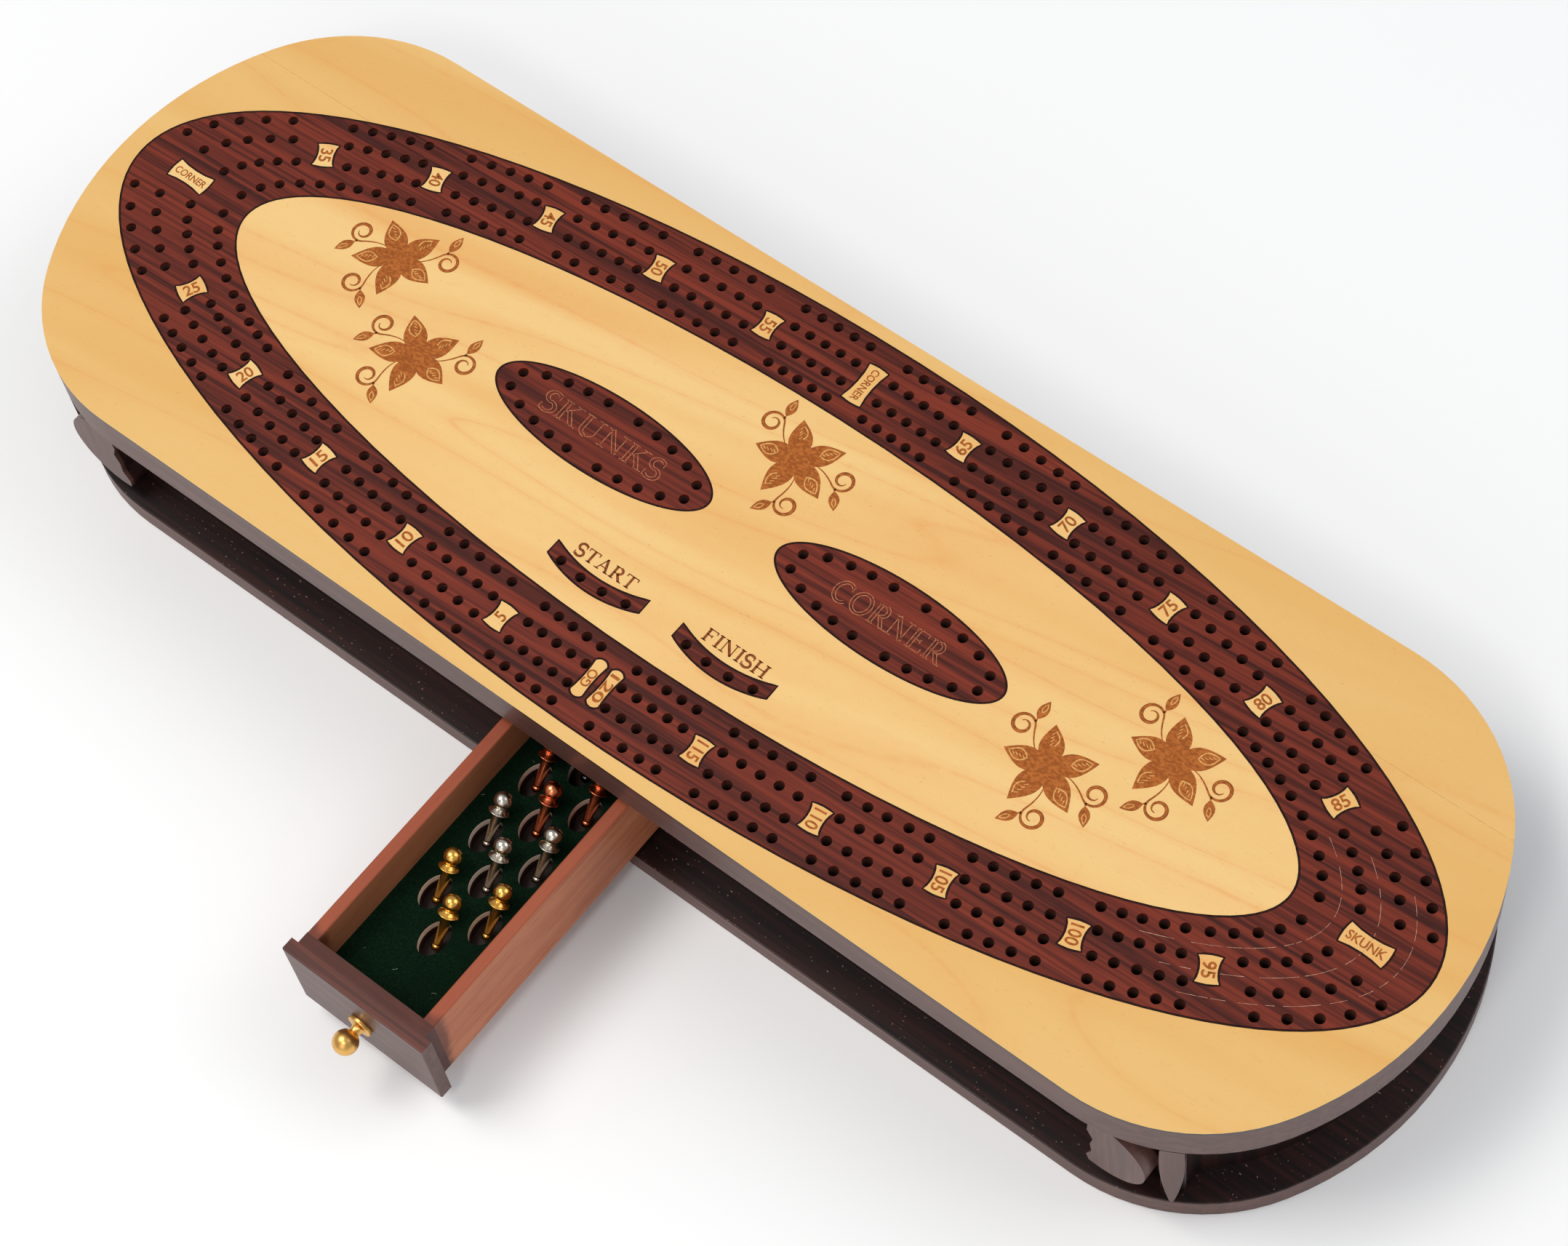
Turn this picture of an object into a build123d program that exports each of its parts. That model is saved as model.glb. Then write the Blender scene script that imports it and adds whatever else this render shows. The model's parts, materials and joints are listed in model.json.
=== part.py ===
"""Cribbage board with a peg drawer, modelled piece by piece in millimetres.

The origin is the centre of the underside, +X runs along the board, +Y to the rear and +Z up.
The drawer stands open at the front, the way it is joined in the record.
"""

import math
import os

from build123d import *

os.makedirs("parts", exist_ok=True)

# ---- the two boards and the space between them ----
board_length = 457.0
board_width = 151.0
end_radius = 93.7  # the bowed ends, centred on the long axis
corner_radius = 56.5
bottom_thickness = 8.0
gap_height = 35.0
core_thickness = 13.0
inlay_thickness = 1.0
edge_break = 0.4  # softened edges of every board

gap_floor = bottom_thickness
gap_ceiling = gap_floor + gap_height
core_top = gap_ceiling + core_thickness

end_centre = board_length / 2 - end_radius
corner_y = board_width / 2 - corner_radius
corner_x = end_centre + math.sqrt((end_radius - corner_radius) ** 2 - corner_y**2)
join_angle = math.degrees(math.atan2(corner_y, corner_x - end_centre))

# ---- peg holes ----
peg_hole_radius = 1.5
peg_hole_depth = 11.0

# ---- the racing track: four elliptical lanes between two ellipses ----
band_outer = (222.0, 71.4)
band_inner = (180.7, 44.6)
lane_ellipses = ((187.3, 48.1), (198.4, 54.5), (209.4, 61.6), (218.4, 68.1))
holes_per_group = 5
# first and last hole of each group of five, in degrees round the lane from the middle of a long side
lane_groups = (
    ((1.9, 8.1), (11.9, 19.6), (23.2, 31.6), (36.1, 45.5), (50.5, 61.7), (65.5, 85.4)),
    ((1.8, 7.8), (11.6, 18.7), (22.6, 30.0), (34.5, 43.1), (48.1, 57.9), (66.3, 82.5)),
    ((1.8, 7.6), (11.2, 18.0), (21.7, 28.9), (33.2, 41.3), (46.0, 55.5), (63.7, 81.2)),
    ((1.7, 7.6), (10.9, 17.5), (20.8, 28.2), (32.0, 39.9), (44.6, 53.6), (61.7, 80.5)),
)

# ---- markers let into the track ----
marker_ellipse = (202.5, 57.8)
marker_angles = (9.7, 20.6, 32.2, 45.2, 60.4)
number_marker = {"length": 7.6, "ends": 6.7, "waist": 5.1, "crown": 0.45}
word_marker = {"length": 13.0, "ends": 6.7, "waist": 5.3, "crown": 0.45}
twin_marker = {"length": 10.6, "ends": 4.4, "waist": 3.6, "crown": 1.3}
twin_spacing = 5.6
twin_y = -57.2
end_marker_x = 203.4

# ---- inlays in the middle field ----
inlay_shift_x = 1.2  # the middle group sits a little off the board's centre
oval_x = 49.8
oval_y = 2.7
oval_size = (37.6, 12.2)
oval_lane = (32.8, 9.1)
oval_group = (9.5, 72.6)
tray_x = 21.9
tray_width = 32.2
tray_horn_y = -29.7
tray_low_y = -34.4
tray_top_sag = 3.1
tray_bottom_sag = 3.3
tray_hole_pitch = 7.6
tray_hole_y = -35.2
tray_hole_rise = 0.9

# ---- walls of the hollow middle ----
recess = 10.0  # how far the walls stand back from the edge of the boards
wall = 7.0
corner_from_x = 150.0
corner_from_y = 44.0
bay_half = 23.3  # half the width of the drawer's mouth

# ---- round boss and upright post on each corner block ----
boss_x = 174.5
boss_z = 28.2
boss_radius = 14.7
boss_set_back = 1.9
boss_root_y = 55.0
groove_end_x = 170.5
chip_depths = (0.0, 1.4, 0.3, 2.1, 1.6, 2.6, 0.9, 1.2, 0.0)
post_angle = 28.6
post_half_width = 3.3
post_half_height = 30.0
post_mid_z = 36.0
cove_half_width = 9.0
post_cove_depth = 6.5
cove_bend = (4.98, 1.43)
cove_toe_lip = 0.6

# ---- drawer ----
drawer_half = 22.3
side_thickness = 3.8
panel_half = 24.6
panel_thickness = 3.9
inner_front_thickness = 3.6
panel_foot = 8.5
drawer_floor = 13.2
drawer_top = 39.0
bottom_panel = 3.2
panel_front_y = -160.0
drawer_back_y = -36.3
felt_thickness = 0.8
deck_top = 25.5

panel_back_y = panel_front_y + panel_thickness
inner_front_y = panel_back_y + inner_front_thickness
inner_back_y = drawer_back_y - inner_front_thickness
inner_half = drawer_half - side_thickness
inside_centre_y = (inner_front_y + inner_back_y) / 2
inside_length = inner_back_y - inner_front_y

# ---- what the drawer runs on ----
bay_wall = 4.0
bay_front_y = wall + recess - board_width / 2
bay_back_y = -bay_front_y
runner_half_width = 4.5
runner_x = 18.6
runner_top = 12.9
runner_front_y = -63.0
runner_back_y = 50.0
kicker_x = 20.8
kicker_half_width = 1.8
kicker_bottom = 39.3
stop_depth = 3.6
stop_height = 12.0

# ---- pegs and their pockets ----
peg_tilt = 41.0  # from upright, head to the rear
pocket_half = (3.8, 5.6)
pocket_depth = 6.0
column_pitch = 8.9
first_row_y = -120.4
row_pitch = 20.55
middle_row_offset = -10.3
foot_offset_y = -0.4
foot_height = 4.3  # of the foot's centre under the deck's surface
peg_finishes = ("brass", "nickel", "copper", "black")
peg_columns = (("left", -1), ("middle", 0), ("right", 1))

foot_radius = 1.45
stem_radius = 1.6
stem_waist = 1.25
collar_radius = 3.0
collar_rim = 12.0
collar_lip = 0.45
head_neck_radius = 1.5
head_neck = 13.3
head_radius = 2.6
head_centre = 15.6

# ---- drawer knob ----
knob_flange_radius = 3.75
knob_flange_lip = 0.7
knob_waist_radius = 2.3
knob_waist = 1.6
knob_neck_radius = 1.5
knob_neck = 3.2
knob_ball_radius = 3.6
knob_ball_centre = 6.6
knob_shank_radius = 1.2
knob_shank_length = 6.8
shank_clearance = 0.1


def outline(inset=0.0):
    """The boards' outline, a given distance inside their edge."""
    radius_end = end_radius - inset
    radius_corner = corner_radius - inset
    half_width = board_width / 2 - inset
    sweep = 90 - join_angle
    with BuildSketch() as shape:
        with BuildLine():
            Line((-corner_x, -half_width), (corner_x, -half_width))
            CenterArc((corner_x, -corner_y), radius_corner, -90, sweep)
            CenterArc((end_centre, 0), radius_end, -join_angle, 2 * join_angle)
            CenterArc((corner_x, corner_y), radius_corner, join_angle, sweep)
            Line((corner_x, half_width), (-corner_x, half_width))
            CenterArc((-corner_x, corner_y), radius_corner, 90, sweep)
            CenterArc((-end_centre, 0), radius_end, 180 - join_angle, 2 * join_angle)
            CenterArc((-corner_x, -corner_y), radius_corner, 180 + join_angle, sweep)
        make_face()
    return shape.sketch


def on_ellipse(half_axes, degrees):
    """Point on an ellipse, counted from the middle of its front side towards -X."""
    turn = math.radians(degrees)
    return (-half_axes[0] * math.sin(turn), -half_axes[1] * math.cos(turn))


def group_of_holes(half_axes, first, last):
    """Evenly spaced holes along an ellipse between two angles."""
    steps = 60
    turns = [first + (last - first) * i / steps for i in range(steps + 1)]
    points = [on_ellipse(half_axes, turn) for turn in turns]
    lengths = [0.0]
    for before, after in zip(points, points[1:]):
        lengths.append(lengths[-1] + math.dist(before, after))
    holes = []
    for k in range(holes_per_group):
        wanted = lengths[-1] * k / (holes_per_group - 1)
        index = min(range(steps + 1), key=lambda i: abs(lengths[i] - wanted))
        holes.append(points[index])
    return holes


def four_quarters(points):
    """The points of one quarter, repeated by symmetry in all four."""
    return [(sx * x, sy * y) for sx in (1, -1) for sy in (1, -1) for x, y in points]


def lane_holes():
    """All holes of the racing track."""
    quarter = []
    for half_axes, groups in zip(lane_ellipses, lane_groups):
        for first, last in groups:
            quarter += group_of_holes(half_axes, first, last)
    return four_quarters(quarter)


def oval_centre(side):
    """Centre of one oval inlay."""
    return (side * oval_x + inlay_shift_x, oval_y)


def oval_holes(side):
    """The holes of one oval inlay."""
    quarter = group_of_holes(oval_lane, *oval_group)
    centre_x, centre_y = oval_centre(side)
    return [(centre_x + x, centre_y + y) for x, y in four_quarters(quarter)]


def tray_centre_x(side):
    """Middle of the start or the finish tray."""
    return side * tray_x + inlay_shift_x


def tray_holes(side):
    """The four holes of the start or the finish tray."""
    holes = []
    for k in (-1.5, -0.5, 0.5, 1.5):
        rise = tray_hole_rise if abs(k) > 1 else 0.0
        holes.append((tray_centre_x(side) + k * tray_hole_pitch, tray_hole_y + rise))
    return holes


def bone(length, ends, waist, crown):
    """A marker: crowned ends and hollow sides, its length along Y."""
    with BuildSketch() as shape:
        with BuildLine():
            ThreePointArc((-ends / 2, length / 2), (0, length / 2 + crown), (ends / 2, length / 2))
            ThreePointArc((ends / 2, length / 2), (waist / 2, 0), (ends / 2, -length / 2))
            ThreePointArc((ends / 2, -length / 2), (0, -length / 2 - crown), (-ends / 2, -length / 2))
            ThreePointArc((-ends / 2, -length / 2), (-waist / 2, 0), (-ends / 2, length / 2))
        make_face()
    return shape.sketch


def number_marker_places(x_side, y_side):
    """Places of the five number markers of one quarter, square to the lanes."""
    places = []
    for degrees in marker_angles:
        x, y = on_ellipse(marker_ellipse, degrees)
        x, y = -x * x_side, -y * y_side
        slope_x = x / marker_ellipse[0] ** 2
        slope_y = y / marker_ellipse[1] ** 2
        places.append(Location((x, y, 0), math.degrees(math.atan2(slope_y, slope_x)) - 90))
    return places


streets = (("first", -1, -1), ("second", -1, 1), ("third", 1, 1), ("fourth", 1, -1))
word_markers = {
    "marker_go": (twin_marker, Location((-twin_spacing / 2, twin_y, 0))),
    "marker_finish_line": (twin_marker, Location((twin_spacing / 2, twin_y, 0))),
    "marker_corner_left": (word_marker, Location((-end_marker_x, 0, 0), 90)),
    "marker_corner_rear": (word_marker, Location((0, -twin_y, 0))),
    "marker_skunk": (word_marker, Location((end_marker_x, 0, 0), 90)),
}


def all_markers():
    """Sketch of every marker, to cut the track with."""
    with BuildSketch() as shape:
        for _, x_side, y_side in streets:
            with Locations(*number_marker_places(x_side, y_side)):
                add(bone(**number_marker))
        for size, place in word_markers.values():
            with Locations(place):
                add(bone(**size))
    return shape.sketch


def tray(side):
    """Crescent tray: hollow top, bowed foot and short upright sides."""
    middle = tray_centre_x(side)
    left = middle - tray_width / 2
    right = middle + tray_width / 2
    with BuildSketch() as shape:
        with BuildLine():
            ThreePointArc(
                (left, tray_horn_y), (middle, tray_horn_y - tray_top_sag), (right, tray_horn_y)
            )
            Line((right, tray_horn_y), (right, tray_low_y))
            ThreePointArc(
                (right, tray_low_y), (middle, tray_low_y - tray_bottom_sag), (left, tray_low_y)
            )
            Line((left, tray_low_y), (left, tray_horn_y))
        make_face()
    return shape.sketch


def export(builder, name):
    builder.part.label = name
    export_step(builder.part, f"parts/{name}.step")


# ==== bottom board ====
with BuildPart() as bottom_board:
    add(outline())
    extrude(amount=bottom_thickness)
    fillet(bottom_board.edges().group_by(Axis.Z)[0], edge_break)
    fillet(bottom_board.edges().group_by(Axis.Z)[-1], edge_break)
export(bottom_board, "bottom_board")

# ==== top board: a core with the peg holes, and the thin inlays on it ====
every_hole = lane_holes()
for side in (-1, 1):
    every_hole += oval_holes(side) + tray_holes(side)

with BuildPart() as top_board:
    with BuildSketch(Plane.XY.offset(gap_ceiling)):
        add(outline())
    extrude(amount=core_thickness)
    fillet(top_board.edges().group_by(Axis.Z)[0], edge_break)
    with BuildSketch(Plane.XY.offset(core_top)):
        with Locations(*every_hole):
            Circle(peg_hole_radius)
    extrude(amount=inlay_thickness - peg_hole_depth, mode=Mode.SUBTRACT)
export(top_board, "top_board")

inlay_plane = Plane.XY.offset(core_top)

with BuildPart() as maple_border:
    with BuildSketch(inlay_plane):
        add(outline())
        Ellipse(*band_outer, mode=Mode.SUBTRACT)
    extrude(amount=inlay_thickness)
export(maple_border, "maple_border")

with BuildPart() as track_band:
    with BuildSketch(inlay_plane):
        Ellipse(*band_outer)
        Ellipse(*band_inner, mode=Mode.SUBTRACT)
        add(all_markers(), mode=Mode.SUBTRACT)
        with Locations(*lane_holes()):
            Circle(peg_hole_radius, mode=Mode.SUBTRACT)
    extrude(amount=inlay_thickness)
export(track_band, "track_band")

with BuildPart() as maple_field:
    with BuildSketch(inlay_plane):
        Ellipse(*band_inner)
        with Locations(oval_centre(-1), oval_centre(1)):
            Ellipse(*oval_size, mode=Mode.SUBTRACT)
        for side in (-1, 1):
            add(tray(side), mode=Mode.SUBTRACT)
    extrude(amount=inlay_thickness)
export(maple_field, "maple_field")

for name, side in (("skunks_oval", -1), ("corner_oval", 1)):
    with BuildPart() as oval:
        with BuildSketch(inlay_plane):
            with Locations(oval_centre(side)):
                Ellipse(*oval_size)
            with Locations(*oval_holes(side)):
                Circle(peg_hole_radius, mode=Mode.SUBTRACT)
        extrude(amount=inlay_thickness)
    export(oval, name)

for name, side in (("start_tray", -1), ("finish_tray", 1)):
    with BuildPart() as tray_inlay:
        with BuildSketch(inlay_plane):
            add(tray(side))
            with Locations(*tray_holes(side)):
                Circle(peg_hole_radius, mode=Mode.SUBTRACT)
        extrude(amount=inlay_thickness)
    export(tray_inlay, name)

for street, x_side, y_side in streets:
    with BuildPart() as number_markers:
        with BuildSketch(inlay_plane):
            with Locations(*number_marker_places(x_side, y_side)):
                add(bone(**number_marker))
        extrude(amount=inlay_thickness)
    export(number_markers, f"number_markers_{street}_street")

for name, (size, place) in word_markers.items():
    with BuildPart() as marker:
        with BuildSketch(inlay_plane):
            with Locations(place):
                add(bone(**size))
        extrude(amount=inlay_thickness)
    export(marker, name)


# ==== walls between the boards ====
def wall_piece(low_x, high_x, low_y, high_y):
    """The stretch of the recessed wall inside a rectangle of the plan."""
    with BuildPart() as piece:
        with BuildSketch(Plane.XY.offset(gap_floor)):
            add(outline(recess))
            add(outline(recess + wall), mode=Mode.SUBTRACT)
            with Locations(((low_x + high_x) / 2, (low_y + high_y) / 2)):
                Rectangle(high_x - low_x, high_y - low_y, mode=Mode.INTERSECT)
        extrude(amount=gap_height)
    return piece


beyond = board_length
for name, low_x, high_x, low_y, high_y in (
    ("front_rail_left", -corner_from_x, -bay_half, -beyond, 0),
    ("front_rail_right", bay_half, corner_from_x, -beyond, 0),
    ("back_rail", -corner_from_x, corner_from_x, 0, beyond),
    ("end_rail_left", -beyond, -corner_from_x, -corner_from_y, corner_from_y),
    ("end_rail_right", corner_from_x, beyond, -corner_from_y, corner_from_y),
):
    export(wall_piece(low_x, high_x, low_y, high_y), name)

# ==== corner block: wall, round boss with a chipped edge, upright post ====
post_turn = math.radians(post_angle)
post_out = Vector(math.sin(post_turn), -math.cos(post_turn), 0)
post_across = Vector(math.cos(post_turn), math.sin(post_turn), 0)
post_plan = Plane(
    origin=(corner_x, -corner_y, gap_floor), x_dir=post_across, z_dir=(0, 0, 1)
)
wall_face_radius = corner_radius - recess
lens_radius = (post_half_height**2 + post_half_width**2) / (2 * post_half_width)
chip_step = gap_height / (len(chip_depths) - 1)
boss_root = Plane(origin=(0, -boss_root_y, 0), x_dir=(1, 0, 0), z_dir=(0, -1, 0))
boss_end_x = boss_x + boss_radius

with BuildPart() as boss:
    with BuildSketch(boss_root):
        with Locations((boss_x, boss_z)):
            Circle(boss_radius)
    extrude(amount=board_width / 2 - boss_set_back - boss_root_y)
    with BuildSketch(boss_root):
        with BuildLine():
            chips = [
                (groove_end_x + depth, gap_floor + i * chip_step)
                for i, depth in enumerate(chip_depths)
            ]
            Polyline(*chips, (boss_end_x, gap_ceiling), (boss_end_x, gap_floor), close=True)
        make_face()
    extrude(amount=board_width, mode=Mode.INTERSECT)

with BuildPart() as post:
    with BuildSketch(Plane(origin=post_plan.origin, x_dir=post_across, z_dir=post_out)):
        with Locations((-(lens_radius - post_half_width), post_mid_z - gap_floor)):
            Circle(lens_radius)
        with Locations((lens_radius - post_half_width, post_mid_z - gap_floor)):
            Circle(lens_radius, mode=Mode.INTERSECT)
        with Locations((0, gap_height / 2)):
            Rectangle(4 * post_half_width, gap_height, mode=Mode.INTERSECT)
    extrude(amount=corner_radius + recess)
    with BuildSketch(Plane.XY.offset(gap_floor)):
        add(outline())
        add(outline(recess + wall / 2), mode=Mode.SUBTRACT)
    extrude(amount=gap_height, mode=Mode.INTERSECT)

cove_tip = -(wall_face_radius + post_cove_depth)
cove_toe = -(wall_face_radius - cove_toe_lip)
cove_root = -(wall_face_radius - wall / 2)
bend_x, bend_y = cove_bend[0], -(wall_face_radius + cove_bend[1])
with BuildPart() as cove:
    with BuildSketch(post_plan):
        with BuildLine():
            Line((-post_half_width, cove_tip), (post_half_width, cove_tip))
            ThreePointArc((post_half_width, cove_tip), (bend_x, bend_y), (cove_half_width, cove_toe))
            Line((cove_half_width, cove_toe), (cove_half_width, cove_root))
            Line((cove_half_width, cove_root), (-cove_half_width, cove_root))
            Line((-cove_half_width, cove_root), (-cove_half_width, cove_toe))
            ThreePointArc((-cove_half_width, cove_toe), (-bend_x, bend_y), (-post_half_width, cove_tip))
        make_face()
    extrude(amount=gap_height)

with BuildPart() as corner_block:
    add(wall_piece(corner_from_x, beyond, -beyond, -corner_from_y).part)
    add(boss.part)
    add(post.part)
    add(cove.part)

corner_copies = {"front_right": corner_block.part}
corner_copies["front_left"] = mirror(corner_block.part, about=Plane.YZ)
corner_copies["back_right"] = mirror(corner_block.part, about=Plane.XZ)
corner_copies["back_left"] = mirror(corner_copies["front_left"], about=Plane.XZ)
for place, solid in corner_copies.items():
    with BuildPart() as block:
        add(solid)
    export(block, f"corner_block_{place}")

# ==== drawer bay ====
for name, side in (("left", -1), ("right", 1)):
    with BuildPart() as bay_side:
        with Locations((side * (bay_half + bay_wall / 2), 0, gap_floor)):
            Box(
                bay_wall, bay_back_y - bay_front_y, gap_height,
                align=(Align.CENTER, Align.CENTER, Align.MIN),
            )
    export(bay_side, f"bay_wall_{name}")

    runner_length = runner_back_y - runner_front_y
    runner_centre_y = (runner_back_y + runner_front_y) / 2
    with BuildPart() as runner:
        with Locations((side * runner_x, runner_centre_y, gap_floor)):
            Box(
                2 * runner_half_width, runner_length, runner_top - gap_floor,
                align=(Align.CENTER, Align.CENTER, Align.MIN),
            )
    export(runner, f"drawer_runner_{name}")

    with BuildPart() as kicker:
        with Locations((side * kicker_x, runner_centre_y, kicker_bottom)):
            Box(
                2 * kicker_half_width, runner_length, gap_ceiling - kicker_bottom,
                align=(Align.CENTER, Align.CENTER, Align.MIN),
            )
    export(kicker, f"drawer_kicker_{name}")

with BuildPart() as drawer_stop:
    with Locations((0, bay_back_y, gap_floor)):
        Box(2 * bay_half, stop_depth, stop_height, align=(Align.CENTER, Align.MAX, Align.MIN))
export(drawer_stop, "drawer_stop")

# ==== drawer ====
panel_height = drawer_top - panel_foot
knob_z = (drawer_top + panel_foot) / 2
box_height = drawer_top - drawer_floor
front_plane = Plane(origin=(0, panel_front_y, knob_z), x_dir=(1, 0, 0), z_dir=(0, -1, 0))
shank_hole = knob_shank_radius + shank_clearance

with BuildPart() as front_panel:
    with Locations((0, panel_front_y, panel_foot)):
        Box(2 * panel_half, panel_thickness, panel_height, align=(Align.CENTER, Align.MIN, Align.MIN))
    fillet(front_panel.edges().group_by(Axis.Y)[0], edge_break)
    with BuildSketch(front_plane):
        Circle(shank_hole)
    extrude(amount=-panel_thickness, mode=Mode.SUBTRACT)
export(front_panel, "drawer_front_panel")

with BuildPart() as inner_front:
    with Locations((0, panel_back_y, drawer_floor)):
        Box(
            2 * drawer_half, inner_front_thickness, box_height,
            align=(Align.CENTER, Align.MIN, Align.MIN),
        )
    with BuildSketch(front_plane.offset(-panel_thickness)):
        Circle(shank_hole)
    extrude(amount=-inner_front_thickness, mode=Mode.SUBTRACT)
export(inner_front, "drawer_inner_front")

for name, side in (("left", -1), ("right", 1)):
    side_length = drawer_back_y - inner_front_y
    with BuildPart() as drawer_side:
        with Locations((side * (drawer_half - side_thickness / 2), inner_front_y, drawer_floor)):
            Box(side_thickness, side_length, box_height, align=(Align.CENTER, Align.MIN, Align.MIN))
        top_edges = drawer_side.edges().group_by(Axis.Z)[-1].filter_by(Axis.Y)
        fillet(top_edges, edge_break)
    export(drawer_side, f"drawer_side_{name}")

with BuildPart() as drawer_back:
    with Locations((0, inner_back_y, drawer_floor)):
        Box(
            2 * inner_half, inner_front_thickness, box_height,
            align=(Align.CENTER, Align.MIN, Align.MIN),
        )
export(drawer_back, "drawer_back")

with BuildPart() as drawer_bottom:
    with Locations((0, inside_centre_y, drawer_floor)):
        Box(2 * inner_half, inside_length, bottom_panel, align=(Align.CENTER, Align.CENTER, Align.MIN))
export(drawer_bottom, "drawer_bottom")

pockets = []
for row, finish in enumerate(peg_finishes):
    for column, step in peg_columns:
        y = first_row_y + row * row_pitch + (middle_row_offset if step == 0 else 0)
        pockets.append((finish, column, step * column_pitch, y))
pocket_places = [(x, y) for _, _, x, y in pockets]

deck_floor = drawer_floor + bottom_panel
with BuildPart() as peg_deck:
    with Locations((0, inside_centre_y, deck_floor)):
        Box(
            2 * inner_half, inside_length, deck_top - felt_thickness - deck_floor,
            align=(Align.CENTER, Align.CENTER, Align.MIN),
        )
    with BuildSketch(Plane.XY.offset(deck_top - pocket_depth)):
        with Locations(*pocket_places):
            Ellipse(*pocket_half)
    extrude(amount=pocket_depth, mode=Mode.SUBTRACT)
export(peg_deck, "peg_deck")

with BuildPart() as felt_lining:
    with BuildSketch(Plane.XY.offset(deck_top - felt_thickness)):
        with Locations((0, inside_centre_y)):
            Rectangle(2 * inner_half, inside_length)
        with Locations(*pocket_places):
            Ellipse(*pocket_half, mode=Mode.SUBTRACT)
    extrude(amount=felt_thickness)
export(felt_lining, "felt_lining")

# ==== knob: shank, flange, neck and ball, turned about its own axis ====
knob_plane = Plane(origin=(0, panel_front_y, knob_z), x_dir=(0, 0, 1), z_dir=(1, 0, 0))
knob_ball_join = knob_ball_centre - math.sqrt(knob_ball_radius**2 - knob_neck_radius**2)
knob_ball_end = knob_ball_centre + knob_ball_radius
with BuildPart() as knob:
    with BuildSketch(knob_plane):
        with BuildLine():
            Line((0, -knob_shank_length), (knob_shank_radius, -knob_shank_length))
            Line((knob_shank_radius, -knob_shank_length), (knob_shank_radius, 0))
            Line((knob_shank_radius, 0), (knob_flange_radius, 0))
            Line((knob_flange_radius, 0), (knob_flange_radius, knob_flange_lip))
            ThreePointArc(
                (knob_flange_radius, knob_flange_lip),
                (knob_waist_radius, knob_waist),
                (knob_neck_radius, knob_neck),
            )
            Line((knob_neck_radius, knob_neck), (knob_neck_radius, knob_ball_join))
            ThreePointArc(
                (knob_neck_radius, knob_ball_join),
                (knob_ball_radius, knob_ball_centre),
                (0, knob_ball_end),
            )
            Line((0, knob_ball_end), (0, -knob_shank_length))
        make_face()
    revolve(axis=Axis((0, panel_front_y, knob_z), (0, -1, 0)))
export(knob, "drawer_knob")

# ==== pegs, each leaning in its pocket ====
tilt = math.radians(peg_tilt)
peg_axis = Vector(0, math.sin(tilt), math.cos(tilt))
head_join = head_centre - math.sqrt(head_radius**2 - head_neck_radius**2)
for finish, column, x, y in pockets:
    foot_centre = Vector(x, y + foot_offset_y, deck_top - foot_height)
    tip = foot_centre - peg_axis * foot_radius
    profile_plane = Plane(origin=tip, x_dir=(1, 0, 0), z_dir=Vector(1, 0, 0).cross(peg_axis))
    with BuildPart() as peg:
        with BuildSketch(profile_plane):
            with BuildLine():
                ThreePointArc(
                    (0, 0),
                    (foot_radius * math.sin(tilt), foot_radius * (1 - math.cos(tilt))),
                    (foot_radius, foot_radius),
                )
                ThreePointArc(
                    (foot_radius, foot_radius),
                    (stem_waist, 3 * foot_radius),
                    (stem_radius, collar_rim),
                )
                Line((stem_radius, collar_rim), (collar_radius, collar_rim))
                Line((collar_radius, collar_rim), (collar_radius, collar_rim + collar_lip))
                Line((collar_radius, collar_rim + collar_lip), (head_neck_radius, head_neck))
                Line((head_neck_radius, head_neck), (head_neck_radius, head_join))
                ThreePointArc(
                    (head_neck_radius, head_join),
                    (head_radius, head_centre),
                    (0, head_centre + head_radius),
                )
                Line((0, head_centre + head_radius), (0, 0))
            make_face()
        revolve(axis=Axis(tip, peg_axis))
    export(peg, f"peg_{finish}_{column}")
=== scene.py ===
import json
import math
import random

import bmesh
import bpy
from mathutils import Matrix, Vector


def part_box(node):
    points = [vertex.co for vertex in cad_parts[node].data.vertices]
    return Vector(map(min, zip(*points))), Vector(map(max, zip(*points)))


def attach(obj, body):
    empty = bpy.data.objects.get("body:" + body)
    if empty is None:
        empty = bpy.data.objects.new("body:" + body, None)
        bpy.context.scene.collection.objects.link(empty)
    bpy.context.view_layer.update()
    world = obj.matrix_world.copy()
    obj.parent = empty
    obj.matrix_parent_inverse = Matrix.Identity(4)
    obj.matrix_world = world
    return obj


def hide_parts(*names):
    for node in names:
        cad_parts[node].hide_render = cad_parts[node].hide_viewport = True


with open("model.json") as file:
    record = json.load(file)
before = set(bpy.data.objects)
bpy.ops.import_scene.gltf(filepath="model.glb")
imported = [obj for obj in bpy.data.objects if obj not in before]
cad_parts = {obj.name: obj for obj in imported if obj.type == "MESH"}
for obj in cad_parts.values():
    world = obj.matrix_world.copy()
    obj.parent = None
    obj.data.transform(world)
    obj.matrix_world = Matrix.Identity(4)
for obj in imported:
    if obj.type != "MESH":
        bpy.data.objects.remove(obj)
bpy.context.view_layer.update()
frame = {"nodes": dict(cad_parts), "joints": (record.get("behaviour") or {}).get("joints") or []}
nodes = frame["nodes"]
joints = {joint["child"]: joint for joint in frame["joints"]}
mm = 0.001
weld = 1e-6  # corners closer than this are one, in metres
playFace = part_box("maple_field")[1].z / mm  # the playing surface, in millimetres
print("frame loaded")


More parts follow.
